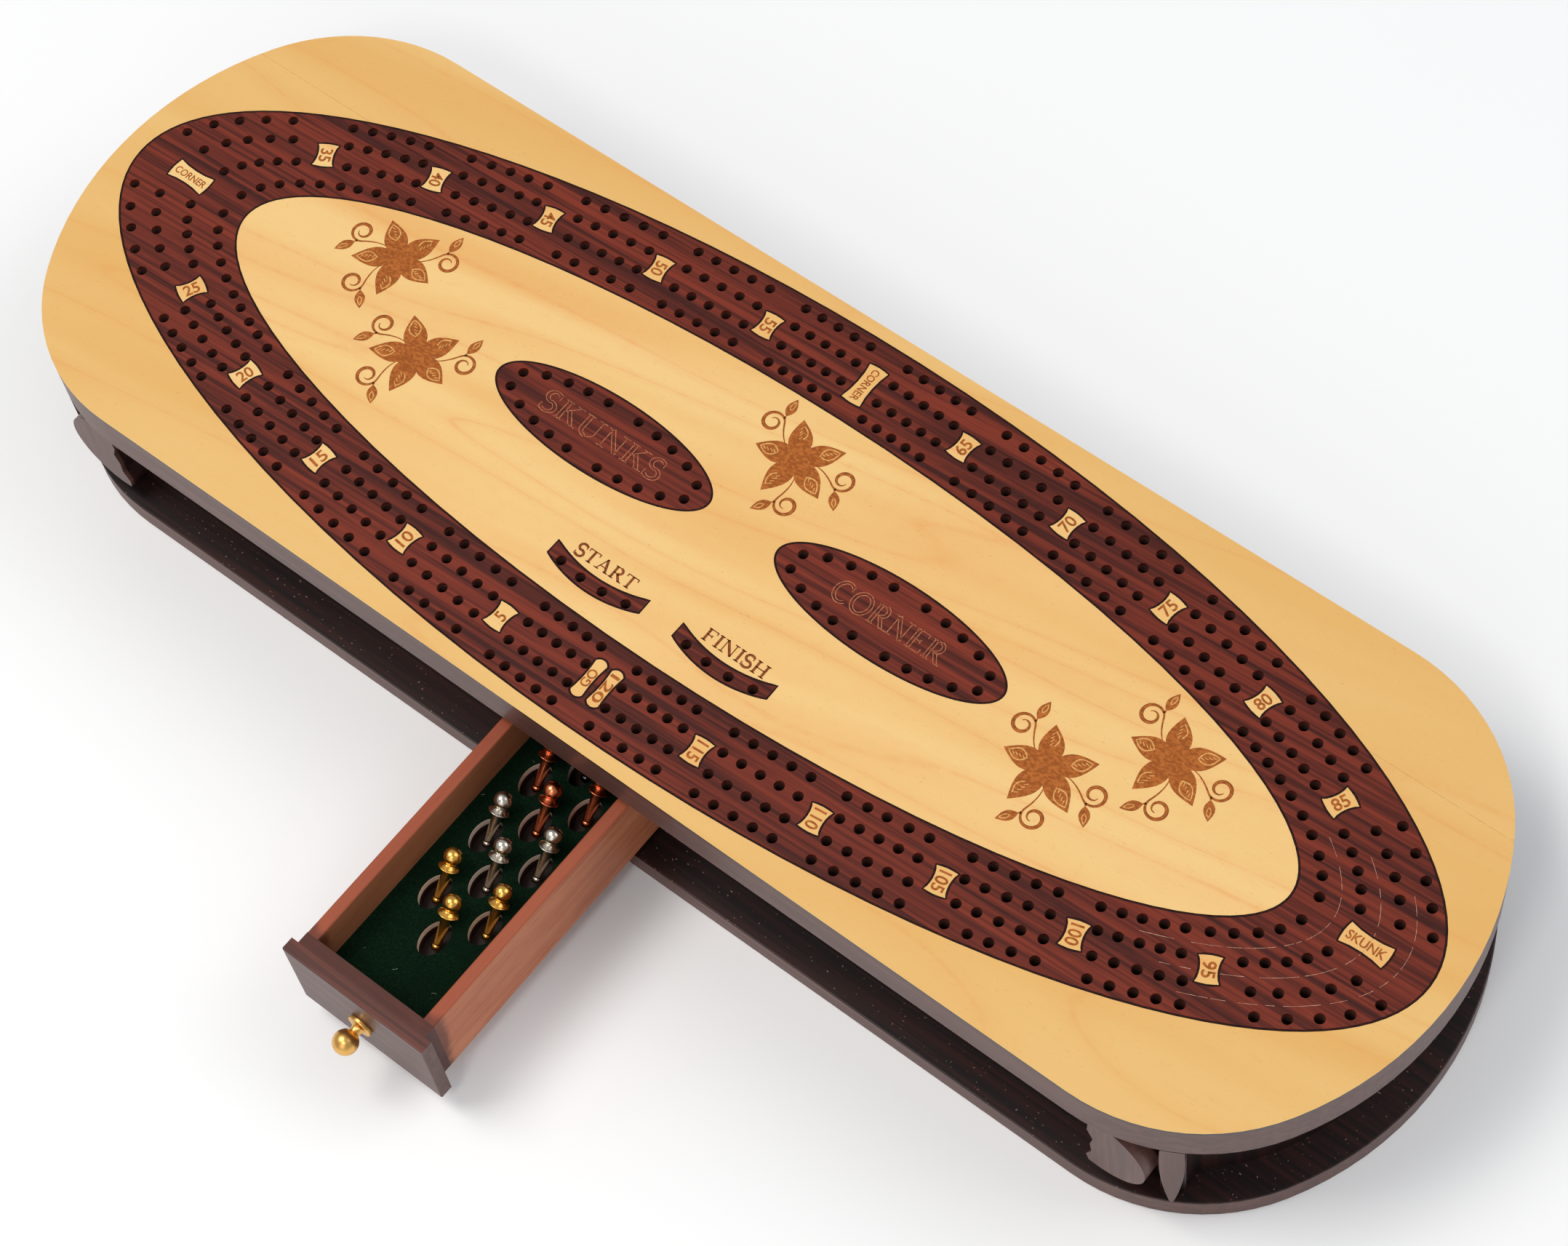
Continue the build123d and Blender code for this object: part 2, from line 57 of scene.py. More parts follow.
# camera, light and floor
view = {"place": (0.378384, -0.330330, 0.887298), "turn": (29.188, 5.121, 38.787), "lens": 82.96}
studio = {
    "floorSize": 30,
    "floorDrop": 0.1,  # a hair under the board's flat underside, in millimetres
    "floorGrey": (0.86, 0.86, 0.86, 1),
    "floorShade": (0.8428, 0.8428, 0.8471, 1),
    "floorPatches": (260, 220),
    "skyColour": (0.93, 0.96, 1.0),
    "skyPower": 0.5,
    "lamps": (  # place, size, watts, colour
        ((-0.7, -0.5, 1.9), 0.9, 21.5, (1.0, 0.97, 0.93)),
        ((1.2, 1.1, 1.6), 1.4, 12.5, (0.96, 0.98, 1.0)),
        ((0.5, -1.6, 0.9), 1.1, 4, (1.0, 0.98, 0.96)),
        ((0.32, -0.8, 1.25), 0.22, 3, (1.0, 0.98, 0.95)),
    ),
}


def setCamera():
    lens = bpy.data.cameras.new("camera")
    lens.lens = view["lens"]
    lens.sensor_width = 36
    lens.clip_start = 0.01
    camera = bpy.data.objects.new("camera", lens)
    camera.location = view["place"]
    camera.rotation_euler = [math.radians(angle) for angle in view["turn"]]
    bpy.context.scene.collection.objects.link(camera)
    bpy.context.scene.camera = camera


def setLamps():
    for number, (place, size, watts, colour) in enumerate(studio["lamps"]):
        lamp = bpy.data.lights.new(f"lamp{number}", "AREA")
        lamp.size, lamp.energy, lamp.color = size, watts, colour
        holder = bpy.data.objects.new(lamp.name, lamp)
        holder.location = place
        holder.rotation_euler = (-Vector(place)).to_track_quat("-Z", "Y").to_euler()
        bpy.context.scene.collection.objects.link(holder)
    world = bpy.data.worlds.new("sky")
    world.use_nodes = True
    sky = world.node_tree.nodes["Background"]
    sky.inputs["Color"].default_value = (*studio["skyColour"], 1)
    sky.inputs["Strength"].default_value = studio["skyPower"]
    bpy.context.scene.world = world
    bpy.context.scene.view_settings.view_transform = "Standard"


setCamera()
setLamps()
print("camera and lamps set")


# node trees
class Flow:  # one socket, ready for plain arithmetic
    def __init__(self, sheet, socket):
        self.sheet, self.socket = sheet, socket

    def maths(self, operation, *others):  # this value first, then the others
        return self.sheet.maths(operation, self, *others)

    def __add__(self, other):
        return self.maths("ADD", other)

    def __radd__(self, other):
        return self.sheet.maths("ADD", other, self)

    def __sub__(self, other):
        return self.maths("SUBTRACT", other)

    def __rsub__(self, other):
        return self.sheet.maths("SUBTRACT", other, self)

    def __mul__(self, other):
        return self.maths("MULTIPLY", other)

    def __rmul__(self, other):
        return self.sheet.maths("MULTIPLY", other, self)

    def __abs__(self):
        return self.maths("ABSOLUTE")

    def rise(self, low, high):  # 0 at low, 1 at high, smooth between
        return self.sheet.node(
            "ShaderNodeMapRange",
            {"interpolation_type": "SMOOTHSTEP"},
            {"Value": self, "From Min": low, "From Max": high},
        )


class Sheet:  # a node tree being laid out
    def __init__(self, tree):
        self.tree = tree

    def node(self, kind, settings={}, inputs={}, output=0):
        made = self.tree.nodes.new(kind)
        for name, value in settings.items():
            setattr(made, name, value)
        for key, value in inputs.items():
            if isinstance(value, Flow):
                self.tree.links.new(value.socket, made.inputs[key])
            else:
                made.inputs[key].default_value = value
        return Flow(self, made.outputs[output])

    def maths(self, operation, *terms):
        return self.node("ShaderNodeMath", {"operation": operation}, dict(enumerate(terms)))


def paint(red, green, blue):  # screen colour, 0 to 255, as the shader takes it
    levels = [level / 255 for level in (red, green, blue)]
    return (*[((v + 0.055) / 1.055) ** 2.4 if v > 0.04 else v / 12.92 for v in levels], 1)


class Finish(Sheet):  # a material being made
    def __init__(self, name, fixed):
        self.material = bpy.data.materials.new(name)
        self.material.use_nodes = True
        super().__init__(self.material.node_tree)
        self.shader = self.tree.nodes["Principled BSDF"]
        for socket, value in fixed.items():
            self.shader.inputs[socket].default_value = value
        place = self.node("ShaderNodeTexCoord", output="Object")
        self.spot = self.node(
            "ShaderNodeVectorMath", {"operation": "SCALE"}, {0: place, "Scale": 1 / mm}
        )  # place on the object, in millimetres

    def along(self, axis):  # one coordinate, in millimetres
        return self.node("ShaderNodeSeparateXYZ", {}, {0: self.spot}, axis)

    def grain(self, size, turn=(0, 0, 0), shift=0, detail=2, bend=0):  # streaks of that length and width
        length, width = size
        place = self.node(
            "ShaderNodeMapping",
            {"vector_type": "TEXTURE"},
            {
                "Vector": self.spot,
                "Location": (shift, shift, shift),
                "Rotation": [math.radians(angle) for angle in turn],
                "Scale": (length, width, width),
            },
        )
        return self.node(
            "ShaderNodeTexNoise",
            {},
            {"Vector": place, "Scale": 1, "Detail": detail, "Distortion": bend},
        )

    def mix(self, mask, first, second):
        return self.node("ShaderNodeMix", {"data_type": "RGBA"}, {0: mask, 6: first, 7: second}, 2)

    def feed(self, socket, flow):
        self.tree.links.new(flow.socket, self.shader.inputs[socket])

    def dent(self, height, depth, strength=1):  # bump, depth in metres
        normal = self.node(
            "ShaderNodeBump", {}, {"Height": height, "Distance": depth, "Strength": strength}
        )
        self.feed("Normal", normal)


class Plan(Sheet):  # a geometry tree with named inputs
    def __init__(self, name, sizes):
        super().__init__(bpy.data.node_groups.new(name, "GeometryNodeTree"))
        face = self.tree.interface
        face.new_socket("Source", in_out="INPUT", socket_type="NodeSocketGeometry")
        for label, kind in sizes:
            face.new_socket(label, in_out="INPUT", socket_type=f"NodeSocket{kind}")
        face.new_socket("Result", in_out="OUTPUT", socket_type="NodeSocketGeometry")
        self.entry = self.tree.nodes.new("NodeGroupInput")

    def given(self, label):
        return Flow(self, self.entry.outputs[label])

    def close(self, shape, material):
        real = self.node("GeometryNodeRealizeInstances", {}, {0: shape})
        dressed = self.node("GeometryNodeSetMaterial", {}, {0: real, "Material": material})
        end = self.tree.nodes.new("NodeGroupOutput")
        self.tree.links.new(dressed.socket, end.inputs[0])


def show(name, mesh, body, material=None, stand=()):
    piece = bpy.data.objects.new(name, mesh)
    bpy.context.scene.collection.objects.link(piece)
    if material:
        mesh.materials.clear()
        mesh.materials.append(material)
    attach(piece, body)
    if stand:
        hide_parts(*stand)
    return piece


def grown(source, plan, values):  # runs a geometry tree on an object and keeps the plain mesh
    modifier = source.modifiers.new(plan.tree.name, "NODES")
    modifier.node_group = plan.tree
    for item in plan.tree.interface.items_tree:
        if item.in_out == "INPUT" and item.name in values:
            modifier[item.identifier] = values[item.name]
    bpy.context.view_layer.update()
    graph = bpy.context.evaluated_depsgraph_get()
    mesh = bpy.data.meshes.new_from_object(source.evaluated_get(graph))
    bpy.data.objects.remove(source)
    return mesh


def merged(node):  # a welded copy of a CAD node, alone in the scene
    build = bmesh.new()
    build.from_mesh(nodes[node].data)
    bmesh.ops.remove_doubles(build, verts=build.verts, dist=weld)
    mesh = bpy.data.meshes.new(node + "_copy")
    build.to_mesh(mesh)
    build.free()
    copy = bpy.data.objects.new(mesh.name, mesh)
    bpy.context.scene.collection.objects.link(copy)
    return copy


# which way the grain runs, in degrees
lengthwise, crosswise, upright = (0, 0, 0), (0, 0, 90), (0, 90, 0)


# maple veneer
maple = {
    "pale": (226, 188, 124),
    "warm": (219, 172, 104),
    "line": (214, 136, 74),
    "fleck": (150, 94, 46),
    "shade": (206, 158, 84),
    "shadeShare": 0.42,  # the border is a little darker than the field
    "stainAndReflectionTone": (34, 20, 20),
    "stainDepth": 0.03,  # below this, the edge is stained like the board
    "seamY": 45,  # a joint in the border's veneer
    "seamWidth": 0.12,
    "seamWander": 0.6,
    "turn": (0, 0, 9),
    "fibreTurn": (0, 0, 2),
    "broad": (230, 26),  # length and width of each kind of mark, in millimetres
    "figure": (560, 62),
    "fibre": (34, 0.55),
    "mottle": (5, 3),
    "flecks": (1.7, 0.26),
    "rings": 12,  # growth lines in one patch of figure
}


def mapleFinish(name, shift, edge=False):
    finish = Finish(name, {"Coat Roughness": 0.25, "Specular IOR Level": 0.22})
    broad = finish.grain(maple["broad"], maple["turn"], shift, 1.5, 0.4)
    figure = finish.grain(maple["figure"], maple["turn"], shift + 7, 2, 0.4)
    fibre = finish.grain(maple["fibre"], maple["fibreTurn"], shift, 3)
    mottle = finish.grain(maple["mottle"], maple["turn"], shift + 3, 2)
    fleck = finish.grain(maple["flecks"], maple["fibreTurn"], shift, 1)
    colour = finish.mix(broad.rise(0.36, 0.66), paint(*maple["pale"]), paint(*maple["warm"]))
    waves = (figure * maple["rings"]).maths("PINGPONG", 0.5)
    lines = waves.rise(0.05, 0.0) * mottle.rise(0.1, 0.7)
    veil = waves.rise(0.3, 0.0)
    colour = finish.mix(veil * 0.14 + lines * 0.24, colour, paint(*maple["line"]))
    colour = finish.mix(fibre.rise(0.5, 0.8) * 0.3, colour, paint(*maple["warm"]))
    colour = finish.mix(mottle.rise(0.5, 0.8) * 0.1, colour, paint(*maple["line"]))
    colour = finish.mix(fleck.rise(0.69, 0.78) * 0.4, colour, paint(*maple["fleck"]))
    roughness = 0.42 + fibre * 0.14
    coat = 0.06 + broad * 0.06
    if edge:
        colour = finish.mix(maple["shadeShare"], colour, paint(*maple["shade"]))
        seam = abs(finish.along("Y") - maple["seamY"] - (broad - 0.5) * maple["seamWander"])
        seamMask = seam.rise(maple["seamWidth"], 0.0) * fleck.rise(0.3, 0.5)
        colour = finish.mix(seamMask * 0.55, colour, paint(*maple["fleck"]))
        depth = maple["stainDepth"]
        stainAndReflectionMask = finish.along("Z").rise(playFace - depth, playFace - 2 * depth)
        colour = finish.mix(stainAndReflectionMask, colour, paint(*maple["stainAndReflectionTone"]))
        coat = coat + stainAndReflectionMask * 0.2
        roughness = roughness - stainAndReflectionMask * 0.15
    finish.feed("Base Color", colour)
    finish.feed("Roughness", roughness)
    finish.feed("Coat Weight", coat)
    finish.dent(fibre + fleck * 0.3, 0.00001, 0.35)
    return finish.material


# dark veneer of the track
trackWood = {
    "deep": (58, 18, 12),
    "red": (120, 45, 28),
    "pore": (38, 12, 10),
    "glint": (150, 76, 52),
    "turn": (0, 0, 2.5),
    "streaks": (95, 1.7),
    "bands": (160, 7.5),
    "pores": (22, 0.3),
    "glints": (7, 0.2),
}


def trackFinish(name, shift):
    finish = Finish(name, {"Coat Weight": 0.03, "Specular IOR Level": 0.2})
    streak = finish.grain(trackWood["streaks"], trackWood["turn"], shift, 3, 0.5)
    bands = finish.grain(trackWood["bands"], trackWood["turn"], shift + 5, 2, 0.3)
    fine = finish.grain(trackWood["pores"], trackWood["turn"], shift, 2)
    glint = finish.grain(trackWood["glints"], trackWood["turn"], shift + 2, 1)
    colour = finish.mix(streak.rise(0.3, 0.68), paint(*trackWood["deep"]), paint(*trackWood["red"]))
    colour = finish.mix(bands.rise(0.45, 0.75) * 0.36, colour, paint(*trackWood["deep"]))
    colour = finish.mix(fine.rise(0.5, 0.75) * 0.55, colour, paint(*trackWood["pore"]))
    colour = finish.mix(glint.rise(0.66, 0.8) * 0.35, colour, paint(*trackWood["glint"]))
    finish.feed("Base Color", colour)
    finish.feed("Roughness", 0.36 + fine * 0.2)
    finish.dent(streak * 0.5 + fine, 0.00002, 0.4)
    return finish.material


# dark polished wood of the boards and walls
rosewood = {
    "outer": ((80, 51, 45), (97, 64, 56)),  # each tone is its deep and its red shade
    # inner is the same wood painted much darker: painted shade for the faces down in the recess
    "inner": ((20, 9, 8), (48, 21, 17)),
    "top": ((52, 23, 16), (92, 42, 29)),
    "dust": (140, 116, 104),
    "bare": (110, 60, 36),
    "cornerCentre": (166.8, 19.0),  # middle of a rounded corner, the same in all four
    "cornerReach": 53.6,  # a corner block's ends, past this, sit flush with the boards' edges and take their outer tone instead of the painted shade
    "streaks": (80, 2.2),
    "pores": (14, 0.28),
    "wear": (3, 2.2),
    "specks": (0.75, 0.7),
}


def retoned(finish, mask, shades, tone):  # another pair of shades where the mask is 1
    return [finish.mix(mask, shade, paint(*other)) for shade, other in zip(shades, rosewood[tone])]


def rosewoodFinish(name, tone, shift, turn=lengthwise, dust=0.0, rough=0.36, above=None, ends=None):
    deep, red = [paint(*shade) for shade in rosewood[tone]]
    finish = Finish(name, {"Coat Roughness": 0.18, "Specular IOR Level": 0.32})
    streak = finish.grain(rosewood["streaks"], turn, shift, 3, 0.6)
    fine = finish.grain(rosewood["pores"], turn, shift, 2)
    wear = finish.grain(rosewood["wear"], turn, shift + 11, 3)
    spots = finish.grain(rosewood["specks"], turn, shift + 4, 0)
    if above:  # another tone from a height up, in millimetres
        level, upper = above
        higher = finish.along("Z").rise(level - 0.3, level - 0.1)
        deep, red = retoned(finish, higher, (deep, red), upper)
    if ends:  # another tone at the outer ends of a corner block, which stand out of the painted shade of the recess
        middleX, middleY = rosewood["cornerCentre"]
        outX, outY = abs(finish.along("X")) - middleX, abs(finish.along("Y")) - middleY
        reach = (outX * outX + outY * outY).maths("SQRT")
        outside = reach.rise(rosewood["cornerReach"] - 0.3, rosewood["cornerReach"] + 0.3)
        deep, red = retoned(finish, outside, (deep, red), ends)
    colour = finish.mix(streak.rise(0.35, 0.7), deep, red)
    colour = finish.mix(fine.rise(0.55, 0.8) * 0.4, colour, deep)
    colour = finish.mix(wear.rise(0.7, 0.8) * 0.3, colour, paint(*rosewood["bare"]))
    specks = spots.rise(0.79, 0.83) * dust
    colour = finish.mix(specks, colour, paint(*rosewood["dust"]))
    finish.feed("Base Color", colour)
    finish.feed("Roughness", rough + fine * 0.16 + specks * 0.4)
    finish.feed("Coat Weight", 0.12 - specks * 0.1 - wear.rise(0.62, 0.8) * 0.08)
    finish.dent(streak * 0.4 + fine * 0.8, 0.00003, 0.35)
    return finish.material


# reddish wood of the drawer box
mahogany = {
    "light": (192, 118, 82),
    "deep": (166, 92, 60),
    "pore": (120, 60, 38),
    "shine": (204, 136, 98),
    "inner": (134, 88, 58),
    "top": (136, 56, 30),
    # this colour also paints the dark reflection of the front panel on the drawer sides
    "stainAndReflectionTone": (84, 36, 25),
    "dark": (62, 26, 17),
    "darkReflectionY": -150,  # painted dark reflection of the front panel on the sides, in front of this
    "darkReflectionWander": 9,
    "streaks": (60, 2.0),
    "pores": (4.2, 0.22),
    "mottle": (18, 9),
}


def mahoganyFinish(name, shift, turn, tones=("light", "deep"), sheen=1.0, side=False):
    light, deep = [paint(*mahogany[tone]) for tone in tones]
    finish = Finish(name, {"Coat Weight": 0.05, "Specular IOR Level": 0.3})
    streak = finish.grain(mahogany["streaks"], turn, shift, 3, 0.4)
    pores = finish.grain(mahogany["pores"], turn, shift, 1)
    mottle = finish.grain(mahogany["mottle"], turn, shift + 9, 2)
    colour = finish.mix(streak.rise(0.2, 0.8), light, deep)
    colour = finish.mix(mottle.rise(0.4, 0.75) * 0.3 * sheen, colour, paint(*mahogany["shine"]))
    colour = finish.mix(pores.rise(0.6, 0.75) * 0.3, colour, paint(*mahogany["pore"]))
    if side:  # darker inside, redder on top, and a painted dark reflection of the front panel near the front
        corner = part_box("drawer_side_left")[1]
        innerX, topZ = -corner.x / mm, corner.z / mm
        inward = abs(finish.along("X")).rise(innerX + 0.6, innerX + 0.2)
        colour = finish.mix(inward * 0.7, colour, paint(*mahogany["inner"]))
        upward = finish.along("Z").rise(topZ - 0.35, topZ - 0.1)
        colour = finish.mix(upward * 0.8, colour, paint(*mahogany["top"]))
        # painted reflection: the dark front panel mirrored on each side near its front
        across = finish.along("Y") + mottle * mahogany["darkReflectionWander"]
        stainAndReflectionMask = across.rise(mahogany["darkReflectionY"] + 6, mahogany["darkReflectionY"] + 3)
        colour = finish.mix(stainAndReflectionMask * 0.75, colour, paint(*mahogany["stainAndReflectionTone"]))
    finish.feed("Base Color", colour)
    finish.feed("Roughness", 0.44 + pores * 0.18)
    finish.dent(streak * 0.3 + pores, 0.00004, 0.4)
    return finish.material


# plain wood inside the body
framing = {"light": (196, 158, 112), "deep": (160, 118, 76), "streaks": (70, 2.4), "pores": (5, 0.3)}


def framingFinish():
    finish = Finish("framingWood", {"Coat Weight": 0.0})
    streak = finish.grain(framing["streaks"], crosswise, 3, 3, 0.5)
    pores = finish.grain(framing["pores"], crosswise, 3, 1)
    colour = finish.mix(streak.rise(0.3, 0.7), paint(*framing["light"]), paint(*framing["deep"]))
    finish.feed("Base Color", finish.mix(pores * 0.3, colour, paint(*framing["deep"])))
    finish.feed("Roughness", 0.6 + pores * 0.2)
    finish.dent(streak + pores, 0.00006, 0.5)
    return finish.material


# felt
felt = {
    "deep": (5, 19, 10),
    "light": (13, 36, 20),
    "cut": (232, 212, 198),
    "fibre": (13, 44, 28),
    "lint": (206, 204, 188),
    "tufts": (0.5, 0.45),
    "patches": (16, 10),
}


def feltFinish():
    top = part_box("felt_lining")[1].z / mm
    finish = Finish("greenFelt", {"Specular IOR Level": 0.05, "Coat Weight": 0.0})
    tufts = finish.grain(felt["tufts"], lengthwise, 2, 3)
    patch = finish.grain(felt["patches"], (0, 0, 30), 5, 2)
    colour = finish.mix(tufts.rise(0.35, 0.7), paint(*felt["deep"]), paint(*felt["light"]))
    colour = finish.mix(patch.rise(0.4, 0.7) * 0.4, colour, paint(*felt["deep"]))
    cut = finish.along("Z").rise(top - 0.15, top - 0.3)
    finish.feed("Base Color", finish.mix(cut, colour, paint(*felt["cut"])))
    finish.feed("Roughness", 0.85 + tufts * 0.1)
    finish.dent(tufts, 0.0003, 0.6)
    return finish.material


# metals
metals = {
    "brass": {"colour": (236, 184, 92), "tarnish": (196, 132, 46), "rough": 0.22},
    "satinBrass": {"colour": (232, 182, 104), "tarnish": (204, 146, 72), "rough": 0.3},
    "nickel": {"colour": (206, 198, 184), "tarnish": (160, 146, 122), "rough": 0.21},
    "copper": {"colour": (224, 132, 92), "tarnish": (172, 78, 44), "rough": 0.22},
    "black": {"colour": (74, 72, 74), "tarnish": (38, 36, 38), "rough": 0.12},
}


polish = {"smudges": (2.6, 2.2), "scratches": (2.2, 0.08), "scratchTurn": (40, 20, 70)}


def metalFinish(name):
    metal = metals[name]
    finish = Finish(name + "Metal", {"Metallic": 1.0, "Coat Weight": 0.0})
    smudge = finish.grain(polish["smudges"], lengthwise, 1, 2)
    scratch = finish.grain(polish["scratches"], polish["scratchTurn"], 3, 1)
    colour = finish.mix(smudge.rise(0.35, 0.8) * 0.45, paint(*metal["colour"]), paint(*metal["tarnish"]))
    finish.feed("Base Color", colour)
    worn = smudge.rise(0.3, 0.8) * 0.05 + scratch.rise(0.6, 0.8) * 0.04
    finish.feed("Roughness", metal["rough"] + worn)
    finish.dent(scratch, 0.000004, 0.3)
    return finish.material


# scorched marks
scorch = {  # each mark's dark and light shade
    "rim": ((22, 7, 5), (48, 18, 11)),
    "mark": ((140, 74, 27), (174, 100, 44)),
    "word": ((112, 56, 24), (146, 80, 38)),
    "pale": ((198, 140, 76), (222, 168, 100)),
    "scribe": ((160, 118, 98), (196, 160, 136)),
    "faint": ((146, 84, 56), (186, 118, 82)),
}


charring = {"char": (1.1, 0.7), "grain": (6, 0.3)}


def scorchFinish(name):
    dark, light = scorch[name]
    finish = Finish(name + "Scorch", {"Coat Weight": 0.0, "Specular IOR Level": 0.15})
    char = finish.grain(charring["char"], (0, 0, 10), 2, 3)
    fine = finish.grain(charring["grain"], (0, 0, 3), 4, 2)
    colour = finish.mix(char.rise(0.35, 0.68), paint(*dark), paint(*light))
    finish.feed("Base Color", finish.mix(fine.rise(0.5, 0.8) * 0.4, colour, paint(*dark)))
    finish.feed("Roughness", 0.6 + char * 0.2)
    finish.dent(char, 0.00002, 0.5)
    return finish.material


def floorFinish():
    finish = Finish("paleFloor", {"Roughness": 0.6})
    wave = finish.grain(studio["floorPatches"], (0, 0, 20), 1, 1)
    finish.feed("Base Color", finish.mix(wave, studio["floorGrey"], studio["floorShade"]))
    return finish.material


def setFloor():
    half = studio["floorSize"] / 2
    mesh = bpy.data.meshes.new("floor")
    level = -studio["floorDrop"] * mm
    corners = [(-half, -half, level), (half, -half, level), (half, half, level), (-half, half, level)]
    mesh.from_pydata(corners, [], [(0, 1, 2, 3)])
    mesh.materials.append(floorFinish())
    floor = bpy.data.objects.new("floor", mesh)
    bpy.context.scene.collection.objects.link(floor)


setFloor()
scorches = {name: scorchFinish(name) for name in scorch}
metalFinishes = {name: metalFinish(name) for name in metals}
print("finishes made")


# finishes on the CAD nodes
def dress(names, material):
    for name in names:
        nodes[name].material_slots[0].material = material


def nodesNamed(*starts):
    return [name for name in nodes if name.startswith(starts)]


boardTop, panelTop = [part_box(name)[1].z / mm for name in ("bottom_board", "drawer_front_panel")]
# the bottom board's top face, the floor of the recess, takes the inner tone as painted shade
boardWood = rosewoodFinish("bottomBoardWood", "outer", 50, dust=0.8, rough=0.42, above=(boardTop, "inner"))
# corner blocks get the inner tone as painted shade, except their ends flush with the outline
cornerWood = rosewoodFinish("cornerWood", "inner", 70, upright, ends="outer")
drawerEndWood = mahoganyFinish("drawerEndWood", 30, lengthwise, ("stainAndReflectionTone", "dark"), 0.12)

dress(["maple_border"], mapleFinish("mapleBorder", 0, True))
dress(["maple_field"], mapleFinish("mapleField", 90))
dress(nodesNamed("number_markers", "marker_"), mapleFinish("mapleMarkers", 40))
dress(["track_band"], trackFinish("trackBand", 0))
dress(["skunks_oval", "start_tray", "finish_tray"], trackFinish("darkInlay", 60))
dress(["corner_oval"], trackFinish("darkInlayRight", 120))
dress(["top_board"], rosewoodFinish("topBoardWood", "outer", 0))
dress(["bottom_board"], boardWood)
# the rails stand back in the recess and get the inner tone as painted shade
dress(["front_rail_left", "front_rail_right", "back_rail"], rosewoodFinish("railWood", "inner", 20))
dress(["end_rail_left", "end_rail_right"], rosewoodFinish("endRailWood", "inner", 30, crosswise))
dress(nodesNamed("corner_block"), cornerWood)
dress(["drawer_front_panel"], rosewoodFinish("panelWood", "outer", 110, above=(panelTop, "top")))
dress(["drawer_side_left", "drawer_side_right"], mahoganyFinish("drawerSideWood", 0, crosswise, side=True))
dress(["drawer_inner_front", "drawer_back"], drawerEndWood)
dress(["drawer_bottom"], mahoganyFinish("drawerFloorWood", 80, crosswise))
dress(["felt_lining"], feltFinish())
dress(nodesNamed("bay_wall", "drawer_runner", "drawer_kicker", "drawer_stop"), framingFinish())


# wood block with the pockets: pale at the mouth, painted shade below it, down inside the pockets
# deep paints the shade inside the pockets below the mouth, and the dark streaks
pockets = {"mouth": (238, 214, 196), "deep": (40, 22, 16), "mouthDepth": 1.8, "streaks": (5, 0.5)}


def deckFinish():
    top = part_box("peg_deck")[1].z / mm
    finish = Finish("deckWood", {"Coat Weight": 0.1, "Specular IOR Level": 0.3})
    streak = finish.grain(pockets["streaks"], upright, 3, 2)
    height = finish.along("Z") + streak * 0.5
    pocketShadeMask = height.rise(top - pockets["mouthDepth"] + 0.5, top - pockets["mouthDepth"])
    colour = finish.mix(pocketShadeMask, paint(*pockets["mouth"]), paint(*pockets["deep"]))
    finish.feed("Base Color", finish.mix(streak * 0.4, colour, paint(*pockets["deep"])))
    finish.feed("Roughness", 0.45 + streak * 0.2)
    finish.dent(streak, 0.00005, 0.4)
    return finish.material


dress(["peg_deck"], deckFinish())
print("CAD nodes dressed")


# flat strips along paths: every scorched or scribed line on the playing surface
def strip(plan, curve, scale):  # a flat strip along a curve, scale millimetres wide
    turned = plan.node("GeometryNodeSetCurveNormal", {"mode": "Z_UP"}, {0: curve})
    square = plan.node("GeometryNodeCurvePrimitiveQuadrilateral", {}, {"Width": mm, "Height": mm})
    swept = plan.node(
        "GeometryNodeCurveToMesh", {}, {0: turned, 1: square, "Scale": scale, "Fill Caps": True}
    )
    place = plan.node("GeometryNodeInputPosition")
    height = plan.node("ShaderNodeSeparateXYZ", {}, {0: place}, "Z")
    level = plan.given("Level")
    side = (height - level).maths("SIGN")  # 1 for the strip's upper face, -1 for its lower one
    flat = plan.node(
        "ShaderNodeCombineXYZ",
        {},
        {
            "X": plan.node("ShaderNodeSeparateXYZ", {}, {0: place}, "X"),
            "Y": plan.node("ShaderNodeSeparateXYZ", {}, {0: place}, "Y"),
            "Z": level + side * plan.given("Thickness") * 0.5,
        },
    )
    return plan.node("GeometryNodeSetPosition", {}, {0: swept, "Position": flat})


marks = {
    "thickness": 0.05,
    "rim": 0.6,  # width of the burnt line round an inlay
    "shortest": 12,  # an edge shorter than this is a peg hole's
    "upright": 0.9,  # a face with at least this share of its normal upwards lies flat
    "plateLift": 0.012,
    "plateStep": 0.003,
    "veinLift": 0.048,
}
stripSizes = (("Level", "Float"), ("Thickness", "Float"), ("Paint", "Material"))
linePlan = Plan("strips along lines", stripSizes)
linePlan.close(
    strip(linePlan, linePlan.given("Source"), linePlan.node("GeometryNodeInputRadius")),
    linePlan.given("Paint"),
)

rimPlan = Plan("strips along an inlay's edges", (("Rim", "Float"), ("Shortest", "Float"), *stripSizes))
facing = rimPlan.node("ShaderNodeSeparateXYZ", {}, {0: rimPlan.node("GeometryNodeInputNormal")}, "Z")
topOnly = rimPlan.node(
    "GeometryNodeDeleteGeometry",
    {"domain": "FACE"},
    {0: rimPlan.given("Source"), "Selection": facing.maths("LESS_THAN", marks["upright"])},
)
neighbours = rimPlan.node("GeometryNodeInputMeshEdgeNeighbors")
edges = rimPlan.node(
    "GeometryNodeMeshToCurve",
    {},
    {0: topOnly, "Selection": neighbours.maths("LESS_THAN", 1.5)},
)
loopLength = rimPlan.node("GeometryNodeSplineLength")
longEdges = rimPlan.node(
    "GeometryNodeDeleteGeometry",
    {"domain": "CURVE"},
    {0: edges, "Selection": loopLength.maths("LESS_THAN", rimPlan.given("Shortest"))},
)
rimPlan.close(strip(rimPlan, longEdges, rimPlan.given("Rim")), rimPlan.given("Paint"))


